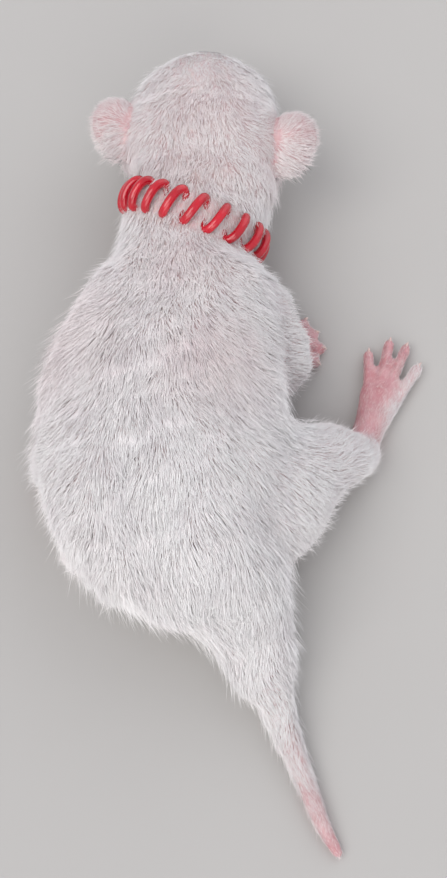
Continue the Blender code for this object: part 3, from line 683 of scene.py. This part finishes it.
def drawn_in(obj):
    """Draws the flesh in along its normals by the coat's depth, in steps with smoothing between, and gives
    back the normals it had before, which show where the skin has folded over."""
    depth = combed(corners_of(obj.data)[0])["depth"]
    furry = ramp(depth, 0.35 * MM, 1.0 * MM)
    inward = (depth + swelling(depth) + puffing(depth))[:, None] / SHRINK_STEPS
    relaxed(obj, furry, FURRY_ROUNDS)
    at = corners_of(obj.data)[0]
    near = np.min([np.linalg.norm(at - np.array(place) * MM, axis=1) for place in SHOULDERS], axis=0)
    relaxed(obj, np.exp(-(near / (10 * MM)) ** 4), SHOULDER_ROUNDS)
    before = corners_of(obj.data)[1]
    for _ in range(SHRINK_STEPS):
        at, out = corners_of(obj.data)
        set_points(obj.data, at - out * inward)
        relaxed(obj, furry, STEP_ROUNDS)
    return before


def make_skin(settings):
    """The skin: the flesh drawn in by the coat's depth, smoothed most in a band round the collar and seated
    under the coil, with lids, mouth, nostrils and toes pressed in and darkened by painted shade."""
    obj = melted_flesh(settings.grain)
    before = drawn_in(obj)
    local = placed(corners_of(obj.data)[0], ring_place().inverted()) / MM
    band = np.exp(-((local[:, 2] + 1) / 11) ** 4) * (1 - ramp(np.hypot(local[:, 0], local[:, 1]), 17, 23))
    relaxed(obj, np.maximum(band, 0.1), NECK_ROUNDS)
    set_points(obj.data, seated(corners_of(obj.data)[0]))
    relaxed(obj, np.maximum(band, 0.1), SEAT_ROUNDS)
    mesh = obj.data
    at, out = corners_of(mesh)
    pressed, dark = np.zeros(len(at)), np.zeros(len(at))
    face = at[:, 1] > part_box("head")[1][1] - 30 * MM
    pressed[face], dark[face] = face_lines(at[face])
    # The furrows between toes are pressed in and darkened with painted shade.
    for foot, toes in TOES.items():
        low, high = np.array(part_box(foot))
        near = ((at > low - MM) & (at < high + MM)).all(1)
        for one, two in zip(toes, toes[1:]):
            deep, painted_shade = toe_line(at[near], one, two)
            pressed[near] += deep
            dark[near] = np.maximum(dark[near], painted_shade)
    at -= out * pressed[:, None]
    at[:, 2] = np.maximum(at[:, 2], 0.05 * MM)
    set_points(mesh, at)
    # Skin whose normal has turned by more than about 75 degrees has folded over, and grows no hair.
    paint(mesh, "sound", (before * corners_of(mesh)[1]).sum(1) > 0.25)
    nose = leather(at)
    paint(mesh, "bare", np.maximum(combed(at)["bare"], nose))
    # Painted shade in the creases of lids, mouth, nostrils and toes.
    paint(mesh, "line", np.clip(dark, 0, 1))
    paint(mesh, "nose", nose)
    thin = obj.modifiers.new("thin", "DECIMATE")
    thin.ratio = min(1, SKIN_TRIANGLES / (len(mesh.loops) - 2 * len(mesh.polygons)))
    applied(obj)
    obj.data.shade_smooth()
    return obj


def node_tree(name):
    """A new material, its nodes and its Principled shader."""
    material = bpy.data.materials.new(name)
    material.use_nodes = True
    tree = material.node_tree
    return material, tree, tree.nodes["Principled BSDF"]


def set_constants(shader, values):
    """Sets numbers and colours that are the same all over, on the shader's own sockets."""
    for socket, value in values.items():
        shader.inputs[socket].default_value = value


def attribute(tree, name):
    """A number that is stored at each point of the mesh."""
    node = tree.nodes.new("ShaderNodeAttribute")
    node.attribute_name = name
    return node.outputs["Fac"]


def noise(tree, scale, detail=3.0, rough=0.55, stretch=None):
    """Noise on Object coordinates, in waves for each metre, which may be stretched."""
    node = tree.nodes.new("ShaderNodeTexNoise")
    node.inputs["Scale"].default_value = scale
    node.inputs["Detail"].default_value = detail
    node.inputs["Roughness"].default_value = rough
    where = tree.nodes.new("ShaderNodeTexCoord").outputs["Object"]
    if stretch:
        turn = tree.nodes.new("ShaderNodeMapping")
        turn.inputs["Scale"].default_value = stretch
        tree.links.new(where, turn.inputs["Vector"])
        where = turn.outputs["Vector"]
    tree.links.new(where, node.inputs["Vector"])
    return node.outputs["Fac"]


def ranged(tree, value, start, end, low=0.0, high=1.0):
    """A number mapped from one range to another and clamped."""
    node = tree.nodes.new("ShaderNodeMapRange")
    for socket, number in (("From Min", start), ("From Max", end), ("To Min", low), ("To Max", high)):
        node.inputs[socket].default_value = number
    tree.links.new(value, node.inputs["Value"])
    return node.outputs["Result"]


def mixed(tree, share, first, second, blend="MIX"):
    """A mix of two colours by a share, where each may be a link or a colour."""
    node = tree.nodes.new("ShaderNodeMix")
    node.data_type = "RGBA"
    node.blend_type = blend
    for socket, value in ((node.inputs[0], share), (node.inputs[6], first), (node.inputs[7], second)):
        if isinstance(value, bpy.types.NodeSocket):
            tree.links.new(value, socket)
        elif isinstance(value, (int, float)):
            socket.default_value = value
        else:
            socket.default_value = (*value, 1)
    return node.outputs[2]


def bumped(tree, shader, height, distance):
    """Bends the shader's normal by a height, whose whole range is worth the distance in metres."""
    node = tree.nodes.new("ShaderNodeBump")
    node.inputs["Distance"].default_value = distance
    tree.links.new(height, node.inputs["Height"])
    tree.links.new(node.outputs["Normal"], shader.inputs["Normal"])


def skin_material(settings):
    """Thin newborn skin: pale under the coat, pink where bare, blotched, painted shade along lids, lips,
    nostrils and toes.
    """
    material, tree, shader = node_tree("kitten_skin")
    bare = attribute(tree, "bare")
    blotch = ranged(tree, noise(tree, 320, 4), 0.38, 0.62)
    colour = mixed(tree, bare, settings.pale, settings.pink)
    deep = mixed(tree, 1.0, colour, (0.86, 0.70, 0.72), "MULTIPLY")
    colour = mixed(tree, blotch, deep, colour)
    colour = mixed(tree, ranged(tree, attribute(tree, "nose"), 0.2, 0.8), colour, (0.58, 0.23, 0.24))
    # Painted shade, a dark red, along the creases.
    colour = mixed(tree, attribute(tree, "line"), colour, (0.24, 0.08, 0.085))
    tree.links.new(colour, shader.inputs["Base Color"])
    set_constants(shader, {
        "Subsurface Weight": 0.25, "Subsurface Radius": (1.0, 0.35, 0.22), "Subsurface Scale": 0.0012,
    })
    rough = ranged(tree, noise(tree, 2600, 2), 0.3, 0.7, 0.42, 0.62)
    tree.links.new(rough, shader.inputs["Roughness"])
    bumped(tree, shader, noise(tree, 1500, 5, 0.62, (1, 0.45, 1)), 0.00012)
    return material


def coat_material(settings):
    """White kitten hair: darker and pinker at the root, partly from skin showing through and partly painted
    shade deep in the coat, white at the tip, each tuft a little different in shade, and pinker where it is
    thin, with painted pink reflected light on the left flank."""
    material, tree, shader = node_tree("kitten_coat")
    # Darker and pinker towards the root: partly skin showing through, partly painted shade deep in the coat.
    tip = ranged(tree, attribute(tree, "tip"), 0.0, 0.75)
    colour = mixed(tree, tip, settings.root, settings.light)
    shade = attribute(tree, "shade")
    grey = mixed(tree, 1.0, colour, (0.86, 0.83, 0.85), "MULTIPLY")
    colour = mixed(tree, shade, colour, grey)
    # Pinker where skin shows through or is bare, and painted pink reflected light on the left flank.
    pinker_tone = mixed(tree, 1.0, colour, (0.94, 0.79, 0.79), "MULTIPLY")
    colour = mixed(tree, attribute(tree, "pink_and_reflection"), colour, pinker_tone)
    tree.links.new(colour, shader.inputs["Base Color"])
    set_constants(shader, {
        "Roughness": 0.55, "Specular IOR Level": 0.35, "Sheen Weight": 0.25, "Sheen Roughness": 0.5,
    })
    return material


def cord_material(settings):
    """Glossy, slightly clear plastic cord with a faint unevenness along it."""
    material, tree, shader = node_tree("collar_cord")
    streak = ranged(tree, noise(tree, 260, 3), 0.35, 0.65)
    darker = mixed(tree, 1.0, settings.colour, (0.72, 0.5, 0.6), "MULTIPLY")
    tree.links.new(mixed(tree, streak, darker, settings.colour), shader.inputs["Base Color"])
    set_constants(shader, {
        "Roughness": 0.12, "Coat Weight": 0.6, "Coat Roughness": 0.06, "Subsurface Weight": 0.3,
        "Subsurface Radius": (1.0, 0.08, 0.06), "Subsurface Scale": 0.0015,
    })
    bumped(tree, shader, noise(tree, 900, 2), 0.00003)
    return material


def claw_material():
    """Clear pale horn, pinker at the root, with fine lengthwise streaks."""
    material, tree, shader = node_tree("claw_horn")
    tip = attribute(tree, "tip")
    colour = mixed(tree, tip, (0.62, 0.36, 0.33), (0.80, 0.73, 0.68))
    streak = ranged(tree, noise(tree, 5200, 2), 0.3, 0.7, 0.0, 0.25)
    tree.links.new(mixed(tree, streak, colour, (0.55, 0.42, 0.38)), shader.inputs["Base Color"])
    set_constants(shader, {
        "Roughness": 0.25, "Subsurface Weight": 0.2, "Subsurface Radius": (1.0, 0.5, 0.4),
        "Subsurface Scale": 0.0006,
    })
    return material


def whisker_material():
    """Smooth white whisker that is a little darker towards its root."""
    material, tree, shader = node_tree("whisker_hair")
    tree.links.new(mixed(tree, attribute(tree, "tip"), (0.72, 0.66, 0.64), (0.92, 0.91, 0.90)),
                   shader.inputs["Base Color"])
    shader.inputs["Roughness"].default_value = 0.35
    return material


def floor_material(settings):
    """Plain matt floor with a very faint mottle."""
    material, tree, shader = node_tree("studio_floor")
    darker = [value * 0.97 for value in settings.floor]
    tree.links.new(mixed(tree, noise(tree, 30, 3), darker, settings.floor), shader.inputs["Base Color"])
    shader.inputs["Roughness"].default_value = 0.8
    return material


def cones(paths, radii, sides):
    """Tapering tubes as arrays: a ring round each path's points at its radius, closed by a flat cap at the
    root and at the tip."""
    count, steps = paths.shape[:2]
    along = unit(np.gradient(paths, axis=1))
    side = unit(np.cross(along, np.array([0.08, 0.05, 1.0])))
    rise = np.cross(side, along)
    turn = np.arange(sides) * 2 * math.pi / sides
    spread = np.cos(turn)[:, None] * side[:, :, None] + np.sin(turn)[:, None] * rise[:, :, None]
    rings = paths[:, :, None] + spread * radii[..., None, None]
    points = rings.reshape(-1, 3)
    quads = grid_faces(steps, sides, True)
    triangles = np.vstack([quads[:, [0, 1, 2]], quads[:, [0, 2, 3]]])
    cap = np.array([[0, k + 1, k] for k in range(1, sides - 1)])
    last = (steps - 1) * sides
    cap_end = np.array([[last, last + k, last + k + 1] for k in range(1, sides - 1)])
    one = np.vstack([triangles, cap, cap_end])
    faces = (one[None] + np.arange(count)[:, None, None] * steps * sides).reshape(-1, 3)
    tips = np.tile(np.repeat(np.linspace(0, 1, steps), sides), count)
    return points, faces, tips


def make_claws(material):
    """A small curved claw at the tip of each toe: it leaves the toe, arches, and dips to the floor."""
    paths, radii = [], []
    for foot, toes in TOES.items():
        reach = HIND_CLAW if "hind" in foot else FORE_CLAW
        for (x, y), (u, v) in toes:
            way = np.array([u - x, v - y, 0.0])
            way /= np.linalg.norm(way)
            t = np.linspace(0, 1, 8)[:, None]
            rise = 2.0 + 0.42 * np.sin(t * math.pi * 0.7) - 1.25 * t**2
            path = np.array([u, v, 0.0]) + way * (0.2 + reach * t) + np.array([0, 0, 1.0]) * rise
            paths.append(path)
            radii.append(CLAW_WIDE * (1 - t[:, 0]) ** 0.8 + 0.03)
    points, faces, tips = cones(np.array(paths) * MM, np.array(radii) * MM, 10)
    mesh = new_mesh("claws", points, faces)
    paint(mesh, "tip", tips)
    return show("claws", mesh, material)


def coil_path(turns, steps):
    """The coil's middle line, closed on itself: the ring's oval plus a cosine of the winding outward and its
    sine along the neck. The winding is the turn round the ring times the turns, plus its leads, so that
    the strands lie closer in some places than in others."""
    turn = np.arange(steps) * 2 * math.pi / steps
    wind = turn * turns
    for number, height, start in COIL_LEADS:
        wind = wind + height * np.sin(number * turn + start)
    wind = wind + COIL_START
    flat = np.stack([np.cos(turn), np.sin(turn), 0 * turn], axis=1)
    centre = flat * (RING_WIDE, RING_TALL, 0)
    out = unit(flat * (RING_TALL, RING_WIDE, 0))
    cord = centre + out * (COIL_DEEP * np.cos(wind))[:, None]
    cord[:, 2] = COIL_ACROSS * np.sin(wind)
    return cord * MM, centre * MM


def make_collar(settings, material):
    """The cord: a circle carried along the coil's middle line."""
    cord, centre = coil_path(settings.turns, settings.turns * 40)
    along = unit(np.roll(cord, -1, axis=0) - np.roll(cord, 1, axis=0))
    side = unit(np.cross(along, cord - centre))
    rise = np.cross(side, along)
    around = np.arange(14) * 2 * math.pi / 14
    spread = np.cos(around)[:, None] * side[:, None] + np.sin(around)[:, None] * rise[:, None]
    rings = cord[:, None] + spread * settings.cord
    rings = np.concatenate([rings, rings[:1]])
    faces = grid_faces(len(rings), 14, True) % (len(cord) * 14)
    mesh = new_mesh("coil_collar", placed(rings[:-1].reshape(-1, 3), ring_place()), faces)
    shape = bmesh.new()
    shape.from_mesh(mesh)
    bmesh.ops.recalc_face_normals(shape, faces=shape.faces)
    shape.to_mesh(mesh)
    shape.free()
    return show("coil_collar", mesh, material)


def sown(rng, skin, count):
    """Roots drawn over the skin's triangles by area times the coat's thickness, with their normals. Short
    hair is sown closer, and little or none under belly, ears and feet, on the nose and in a fold."""
    mesh = skin.data
    at, out = corners_of(mesh)
    mesh.calc_loop_triangles()
    corners = np.empty(len(mesh.loop_triangles) * 3, np.int32)
    mesh.loop_triangles.foreach_get("vertices", corners)
    corners = corners.reshape(-1, 3)
    a, b, c = at[corners[:, 0]], at[corners[:, 1]], at[corners[:, 2]]
    middle = (a + b + c) / 3
    guide = combed(middle)
    facing = unit(out[corners].mean(1))
    want = np.linalg.norm(np.cross(b - a, c - a), axis=1) * guide["thick"]
    want *= 1 + 1.2 * (1 - ramp(guide["length"], 0.9 * MM, 3.0 * MM))
    under = ramp(-facing[:, 2], 0.55, 0.95) * (1 - ramp(middle[:, 2], 1.2 * MM, 4 * MM))
    want *= 1 - 0.9 * under
    want *= 1 - leather(middle)
    sound = np.empty(len(at))
    mesh.attributes["sound"].data.foreach_get("value", sound)
    want *= sound[corners].min(1) > 0.9
    for side in ("left", "right"):
        low, high = np.array(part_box(f"ear_{side}"))
        inside = ((middle > low) & (middle < high)).all(1)
        want *= np.where(inside & (facing[:, 2] < 0), 0.3, 1)
    want *= np.where((guide["bare"] > 0.5) & (facing[:, 2] < -0.3), 0.02, 1)
    pick = rng.choice(len(want), count, p=want / want.sum())
    u, v = rng.random(count), rng.random(count)
    over = u + v > 1
    u[over], v[over] = 1 - u[over], 1 - v[over]
    share = np.stack([1 - u - v, u, v], 1)[..., None]
    return (at[corners[pick]] * share).sum(1), unit((out[corners[pick]] * share).sum(1))


def unwrapped(roots, normals):
    """A place on a flat map for each root: the side of a box that it faces, and its place on that side."""
    low, high = np.array(CAD_BOX)
    share = np.clip((roots - low) / (high - low).max(), 0, 1)
    axis = np.argmax(np.abs(normals), axis=1)
    row = np.take_along_axis(normals, axis[:, None], 1)[:, 0] > 0
    u = np.where(axis == 0, share[:, 2], share[:, 0])
    v = np.where(axis == 2, share[:, 1], np.where(axis == 0, share[:, 1], share[:, 2]))
    return np.stack([(axis + 0.02 + 0.96 * u) / 3, (row + 0.02 + 0.96 * v) / 2], 1)


def pink_skin_and_reflection(points):
    """How much pink is painted at each point: the strongest of the bells round the pink patches, which are
    skin showing through, and painted reflected light on the left flank.
    """
    bells = []
    for middle, width in SKIN_AND_REFLECTED_PINK:
        bells.append(np.exp(-(((points / MM - np.array(middle)) ** 2).sum(1) / width**2)))
    return np.max(bells, axis=0)


def gathered(rng, roots, size):
    """The clump of each root, and each clump's middle: roots shaken a little, then sorted into cells."""
    shaken = roots + rng.normal(0, size * 0.22, roots.shape)
    # Each cell's three places, all under a thousand, make one number.
    cells = np.floor((shaken - shaken.min(0)) / size).astype(np.int64)
    _, clump = np.unique(cells @ (1000000, 1000, 1), return_inverse=True)
    count = np.bincount(clump)
    total = np.stack([np.bincount(clump, roots[:, k]) for k in range(3)], 1)
    return clump, (total / count[:, None])[clump]


def tuft_paths(rng, settings, roots, normals, guide):
    """The bent path, half-width, lie and fine clump of each tuft. A tuft leaves the skin along the lie times
    the cosine of its lift plus the normal times its sine, and the lift changes along it. The tip is then
    pulled towards the middles of its clumps, and the bulge less."""
    count = len(roots)
    fine, fine_middle = gathered(rng, roots, FINE_CLUMP * MM)
    broad, broad_middle = gathered(rng, roots, BROAD_CLUMP * MM)
    sway = rng.normal(0, 1, (broad.max() + 1, 3))[broad] * BROAD_SWAY
    sway += (rng.normal(0, 1, (fine.max() + 1, 3))[fine] * FINE_SWAY
             + rng.normal(0, 1, (count, 3)) * TUFT_SWAY)
    lie = guide["lie"] + sway
    lie = unit(lie - normals * (lie * normals).sum(1, keepdims=True))
    turn = TURNED * waves(rng, roots, TURNED_PATCH * MM)[:, None]
    lie = lie * np.cos(turn) + np.cross(normals, lie) * np.sin(turn)
    length = guide["length"] * rng.uniform(0.7, 1.15, count)
    chance = STRAY_CHANCE + SIDE_STRAY_CHANCE * (1 - np.abs(normals[:, 2]))
    stray = (rng.random(count) < chance) & (normals[:, 2] < STRAY_TOP)
    length *= np.where(stray, STRAY_LENGTH, 1)
    ruffle = waves(rng, roots, RUFFLED_PATCH * MM)
    lift = guide["lift"] * rng.uniform(0.75, 1.25, count) * (1 + RUFFLED * ruffle)
    lift += np.where(stray, STRAY_LIFT, 0)
    lift *= 1 + CLUMP_LIFT * rng.normal(0, 1, broad.max() + 1)[broad]
    lift *= 1 - UPHILL_FLATTER * ramp(lie[:, 2], 0.0, 0.35)
    ring = placed(roots, ring_place().inverted())
    in_ring = np.exp(-(ring[:, 2] / (3.8 * MM)) ** 4) * (np.hypot(ring[:, 0], ring[:, 1]) < 20 * MM)
    length *= 1 - COLLAR_SHORTER * in_ring
    lift += COLLAR_LIFT * in_ring
    width = settings.width * rng.uniform(0.75, 1.25, count) * np.clip(length / (3.2 * MM), 0.42, 1.1)
    width *= np.where(stray, STRAY_WIDTH, 1) * (1 - BARE_FINER * guide["bare"])
    pull = (0.36 + 0.30 * ramp(guide["lift"], 0.40, 0.56)) * np.where(stray, STRAY_PULL, 1)
    path = np.empty((count, 3, 3))
    for k, (share, bend) in enumerate(((0, 1), (BULGE_AT, 1.25), (1.0, 0.85))):
        way = lie * np.cos(lift * bend)[:, None] + normals * np.sin(lift * bend)[:, None]
        path[:, k] = roots + way * (length * share)[:, None]
    for middle, share in ((fine_middle, FINE_PULL), (broad_middle, BROAD_PULL)):
        toward = middle - roots
        toward -= normals * (toward * normals).sum(1, keepdims=True)
        path[:, 1] += toward * (pull * share * 0.45)[:, None]
        path[:, 2] += toward * (pull * share)[:, None]
    path[:, 0] -= normals * ROOT_SUNK * MM
    return path, width, lie, fine


def spindles(path, width, lie, normals):
    """Each tuft's five corners and their shading normals: its sunk root, three round its bulge, which is
    flatter than wide, and its tip. The bulge's normals lean outwards, and all lean a little upwards."""
    side = unit(np.cross(lie, normals))
    around = math.pi / 2 + np.arange(3) * 2 * math.pi / 3
    spread = np.cos(around)[None, :, None] * side[:, None]
    spread = spread + 0.7 * np.sin(around)[None, :, None] * normals[:, None]
    points = np.empty((len(path), 5, 3))
    points[:, 0] = path[:, 0]
    points[:, 1:4] = path[:, 1, None] + spread * width[:, None, None]
    points[:, 4] = path[:, 2]
    points[..., 2] = np.maximum(points[..., 2], 0.02 * MM)
    upward = unit(normals + (0, 0, 0.35))
    shading = np.repeat(upward[:, None], 5, axis=1)
    shading[:, 1:4] = unit(upward[:, None] * 0.85 + spread * 0.55)
    return points, shading


def grow_coat(settings, skin, material):
    """The coat: tufts sown on the skin, and cut from the nose back into pieces of one size. Each tuft has
    its own shade and pink, partly skin showing through and partly painted reflected light, and a small
    patch of the flat map at its root's place."""
    rng = np.random.default_rng(settings.seed)
    roots, normals = sown(rng, skin, settings.tufts)
    guide = combed(roots)
    count = len(roots)
    path, width, lie, fine = tuft_paths(rng, settings, roots, normals, guide)
    points, shading = spindles(path, width, lie, normals)
    shade = rng.normal(0.26, 0.18, count) + 0.22 * rng.normal(0, 1, fine.max() + 1)[fine]
    shade = np.clip(shade + 0.12 * waves(rng, roots, 9 * MM), 0, 1)
    # Pink where skin shows through or is bare, and painted pink reflected light on the left flank.
    pink_and_reflection = np.maximum(pink_skin_and_reflection(roots) * 0.6, guide["bare"] * 1.1)
    pink_and_reflection = np.clip(pink_and_reflection * rng.uniform(0.6, 1.2, count), 0, 1)
    patch = np.array([(0, -1), (-1, 0), (0, 0.3), (1, 0), (0, 1)]) * 0.0015
    places = np.clip(unwrapped(roots, normals)[:, None] + patch[None], 0, 1)
    pieces = []
    for name, share in zip(COAT_PIECES, np.array_split(np.argsort(-roots[:, 1]), len(COAT_PIECES))):
        faces = (SPINDLE[None] + (np.arange(len(share)) * 5)[:, None, None]).reshape(-1, 3)
        mesh = new_mesh(f"coat_{name}", points[share].reshape(-1, 3), faces)
        paint(mesh, "shade", np.repeat(shade[share], 5))
        paint(mesh, "tip", np.tile([0, BULGE_AT, BULGE_AT, BULGE_AT, 1.0], len(share)))
        paint(mesh, "pink_and_reflection", np.repeat(pink_and_reflection[share], 5))
        layer = mesh.uv_layers.new(name="OFBake")
        spots = places[share].reshape(-1, 2)[faces.ravel()]
        layer.data.foreach_set("uv", spots.astype(np.float32).ravel())
        pieces.append(show(f"coat_{name}", mesh, material))
        mesh.normals_split_custom_set_from_vertices(shading[share].reshape(-1, 3))
    return pieces


def make_whiskers(rng, material):
    """Fine whiskers in rows on each side of the muzzle: each leaves the pad sideways and droops back."""
    paths, radii = [], []
    t = np.linspace(0, 1, 10)[:, None]
    for side in (-1, 1):
        for row in range(3):
            for column in range(4):
                x, y, z = WHISKER_BED
                root = np.array([side * (x - 0.2 * row), y - 1.5 * column, z + 1.5 * (row - 1)])
                way = np.array([side * (0.85 + 0.1 * rng.random()), 0.25 - 0.28 * column, 0.12 * (row - 1)])
                reach = 9.0 + 2.2 * column + rng.uniform(-1, 1)
                droop = np.array([0, -0.30, -0.10]) * reach
                paths.append(root + way * reach * t + droop * t**2)
                radii.append(0.075 * (1 - 0.9 * t[:, 0]))
    points, faces, tips = cones(np.array(paths) * MM, np.array(radii) * MM, 5)
    mesh = new_mesh("whiskers", placed(points, skull_place()), faces)
    paint(mesh, "tip", tips)
    return show("whiskers", mesh, material)


class KITTEN_OT_skin(bpy.types.Operator):
    """Melt the solids of flesh into one skin and press the face's lines into it"""

    bl_idname = "kitten.make_skin"
    bl_label = "Make Skin"

    def execute(self, context):
        settings = context.scene.kitten_skin
        skin = make_skin(settings)
        skin.data.materials.clear()
        skin.data.materials.append(skin_material(settings))
        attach(skin, "root")
        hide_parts(*[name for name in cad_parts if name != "collar"])
        return {"FINISHED"}


class KITTEN_OT_claws(bpy.types.Operator):
    """Set a small curved claw at the tip of each toe"""

    bl_idname = "kitten.make_claws"
    bl_label = "Make Claws"

    def execute(self, context):
        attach(make_claws(claw_material()), "root")
        return {"FINISHED"}


class KITTEN_OT_collar(bpy.types.Operator):
    """Wind the glossy coil round the neck"""

    bl_idname = "kitten.make_collar"
    bl_label = "Make Collar"

    def execute(self, context):
        settings = context.scene.kitten_collar
        collar = make_collar(settings, cord_material(settings))
        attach(collar, "root")
        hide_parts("collar")
        return {"FINISHED"}


class KITTEN_OT_coat(bpy.types.Operator):
    """Grow the short coat from the skin, in tufts that follow its lie"""

    bl_idname = "kitten.grow_coat"
    bl_label = "Grow Coat"

    def execute(self, context):
        settings = context.scene.kitten_coat
        for piece in grow_coat(settings, bpy.data.objects["skin"], coat_material(settings)):
            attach(piece, "root")
        return {"FINISHED"}


class KITTEN_OT_whiskers(bpy.types.Operator):
    """Set the whiskers on both sides of the muzzle"""

    bl_idname = "kitten.make_whiskers"
    bl_label = "Make Whiskers"

    def execute(self, context):
        rng = np.random.default_rng(context.scene.kitten_coat.seed + 1)
        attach(make_whiskers(rng, whisker_material()), "root")
        return {"FINISHED"}


class KITTEN_OT_stage(bpy.types.Operator):
    """Lay the floor, hang the studio lights and set the camera"""

    bl_idname = "kitten.set_stage"
    bl_label = "Set Stage"

    def execute(self, context):
        settings = context.scene.kitten_stage
        corners = np.array([(-1, -1, 0), (1, -1, 0), (1, 1, 0), (-1, 1, 0)]) * FLOOR_HALF
        floor = new_mesh("studio_floor", corners, [(0, 1, 2, 3)])
        show("studio_floor", floor, floor_material(settings))
        for name, way, strength, angle, colour in (
            ("key", (-0.45, -0.35, 0.82), settings.key, 45, (1.0, 0.985, 0.96)),
            ("rear", (0.10, -0.93, 0.34), settings.key * 0.7, 50, (1.0, 0.98, 0.95)),
            ("fill", (0.55, 0.60, 0.60), settings.key * 0.48, 70, (0.95, 0.98, 1.0)),
        ):
            data = bpy.data.lights.new(name, "SUN")
            data.angle = math.radians(angle)
            data.energy = strength
            data.color = colour
            light = bpy.data.objects.new(name, data)
            context.scene.collection.objects.link(light)
            light.location = Vector(way) * 0.5
            light.rotation_euler = Vector(way).to_track_quat("Z", "Y").to_euler()
        room = bpy.data.worlds.new("room")
        room.use_nodes = True
        room.node_tree.nodes["Background"].inputs["Color"].default_value = (0.93, 0.94, 1.0, 1)
        room.node_tree.nodes["Background"].inputs["Strength"].default_value = settings.room
        context.scene.world = room
        data = bpy.data.cameras.new("camera")
        data.lens = SENSOR * FOCAL_PIXELS / FRAME_PIXELS
        data.sensor_width = SENSOR
        camera = bpy.data.objects.new("camera", data)
        context.scene.collection.objects.link(camera)
        rise = math.radians(CAMERA_RISE)
        way = Vector((0, -math.cos(rise), math.sin(rise)))
        camera.location = Vector(AIM) * MM + way * CAMERA_REACH * MM
        camera.rotation_euler = (math.radians(90) - rise, 0, 0)
        data.clip_start = 0.005
        context.scene.camera = camera
        context.scene.view_settings.view_transform = "Standard"
        return {"FINISHED"}


class KITTEN_PT_looks(bpy.types.Panel):
    """Lists the steps that build the kitten's looks"""

    bl_label = "Kitten"
    bl_idname = "KITTEN_PT_looks"
    bl_space_type = "VIEW_3D"
    bl_region_type = "UI"
    bl_category = "Kitten"

    def draw(self, context):
        for group, step in (
            ("kitten_skin", "make_skin"), (None, "make_claws"), ("kitten_collar", "make_collar"),
            ("kitten_coat", "grow_coat"), (None, "make_whiskers"), ("kitten_stage", "set_stage"),
        ):
            if group:
                settings = getattr(context.scene, group)
                for name in settings.__annotations__:
                    self.layout.prop(settings, name)
            self.layout.operator(f"kitten.{step}")


SETTINGS = {
    "kitten_skin": KittenSkinSettings,
    "kitten_coat": KittenCoatSettings,
    "kitten_collar": KittenCollarSettings,
    "kitten_stage": KittenStageSettings,
}
STEPS = (
    KITTEN_OT_skin, KITTEN_OT_claws, KITTEN_OT_collar,
    KITTEN_OT_coat, KITTEN_OT_whiskers, KITTEN_OT_stage,
)


def register():
    """Adds the settings, the steps and the panel to Blender."""
    for kind in (*SETTINGS.values(), *STEPS, KITTEN_PT_looks):
        bpy.utils.register_class(kind)
    for name, kind in SETTINGS.items():
        setattr(bpy.types.Scene, name, PointerProperty(type=kind))


def unregister():
    """Takes them out again."""
    for name in SETTINGS:
        delattr(bpy.types.Scene, name)
    for kind in (KITTEN_PT_looks, *reversed(STEPS), *SETTINGS.values()):
        bpy.utils.unregister_class(kind)


def main():
    """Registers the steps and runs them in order."""
    register()
    bpy.ops.kitten.set_stage()
    bpy.ops.kitten.make_skin()
    bpy.ops.kitten.make_claws()
    bpy.ops.kitten.make_collar()
    bpy.ops.kitten.grow_coat()
    bpy.ops.kitten.make_whiskers()


if __name__ == "__main__":
    main()
